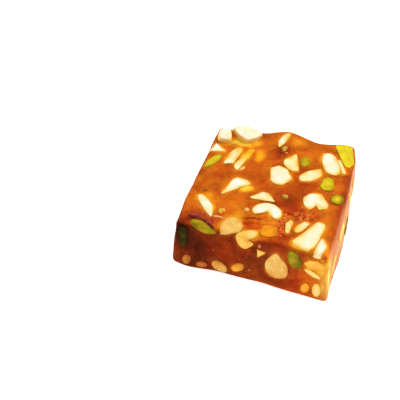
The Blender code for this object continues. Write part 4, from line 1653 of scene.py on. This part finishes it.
@dataclass(frozen=True)
class TableFinish:
    """A white table top that shines a little on the halwa's foot."""

    colour: Colour = (0.95, 0.95, 0.95)
    roughness: float = 0.8
    gloss: float = 0.1
    light: Colour = (1.0, 1.0, 1.0)
    glow: float = 0.50

    def material(self) -> bpy.types.Material:
        """Build the material.

        Returns:
            The material.
        """
        graph = Graph("white_table")
        graph.set(
            base_color=(*self.colour, 1.0),
            roughness=self.roughness,
            specular_ior_level=self.gloss,
            emission_color=(*self.light, 1.0),
            emission_strength=self.glow,
        )
        return graph.material


@dataclass(frozen=True)
class SoftBox:
    """A square studio light that faces the halwa."""

    name: str
    place: Point
    size: float
    power: float
    colour: Colour = (1.0, 1.0, 1.0)

    def build(self) -> None:
        """Hang the light."""
        light = bpy.data.lights.new(self.name, "AREA")
        light.shape = "SQUARE"
        light.size = self.size
        light.energy = self.power
        light.color = self.colour
        lamp = bpy.data.objects.new(self.name, light)
        lamp.location = self.place
        lamp.rotation_euler = (-Vector(self.place)).to_track_quat("-Z", "Y").to_euler()
        bpy.context.scene.collection.objects.link(lamp)


@dataclass(frozen=True)
class Studio:
    """A white table, soft light and the camera."""

    eye: Point = (0.04433, -0.22968, 0.24494)
    tilt: Point = (45.0, 0.0, 18.0)
    lens: float = 72.0
    nearest: float = 0.01
    table: float = 3.0
    table_finish: TableFinish = TableFinish()
    sky: float = 0.56
    sky_colour: Colour = (1.0, 1.0, 1.0)
    lights: tuple[SoftBox, ...] = (
        SoftBox("key_light", (0.45, 0.35, 0.70), 0.5, 5.0, (1.0, 0.97, 0.90)),
        SoftBox("fill_light", (-0.50, -0.40, 0.80), 0.7, 2.0),
    )

    def build(self) -> None:
        """Set up the camera, the lights and the table."""
        scene = bpy.context.scene
        camera = bpy.data.objects.new("camera", bpy.data.cameras.new("camera"))
        camera.data.lens = self.lens
        camera.data.clip_start = self.nearest
        camera.location = self.eye
        camera.rotation_euler = [math.radians(angle) for angle in self.tilt]
        scene.collection.objects.link(camera)
        scene.camera = camera
        for light in self.lights:
            light.build()
        world = bpy.data.worlds.new("studio")
        world.use_nodes = True
        back = world.node_tree.nodes["Background"]
        back.inputs["Color"].default_value = (*self.sky_colour, 1.0)
        back.inputs["Strength"].default_value = self.sky
        scene.world = world
        scene.view_settings.view_transform = "Standard"
        scene.view_settings.look = "Medium High Contrast"
        self.lay_table()

    def lay_table(self) -> None:
        """Lay the white table under the square."""
        bm = bmesh.new()
        bmesh.ops.create_grid(bm, x_segments=1, y_segments=1, size=self.table / 2.0)
        mesh = bpy.data.meshes.new("table")
        bm.to_mesh(mesh)
        bm.free()
        mesh.materials.append(self.table_finish.material())
        table = bpy.data.objects.new("table", mesh)
        bpy.context.scene.collection.objects.link(table)


def report(piece: bpy.types.Object) -> None:
    """Log a finished piece."""
    LOG.info("%s: %d faces", piece.name, len(piece.data.polygons))


def main() -> None:
    """Build the studio, the nuts, the jelly and the crumbs."""
    logging.basicConfig(level=logging.INFO, format="%(message)s")
    Studio().build()
    square = HandCutSquare()
    coats = {kind: finish.material() for kind, finish in FINISHES.items()}
    kernels = [Kernel(nut, square) for nut in (*NUTS, SHARD)]
    for kernel in kernels:
        report(kernel.build(coats[kernel.nut.kind]))
    sunk = SunkNuts(square)
    report(sunk.build(coats[Kind.CASHEW]))
    report(Jelly(square).build(kernels, sunk))
    lids = tree_of([place for kernel in kernels for place in kernel.lid])
    for kind in SMALL_THINGS:
        report(kind.build(square, lids))


if __name__ == "__main__":
    main()
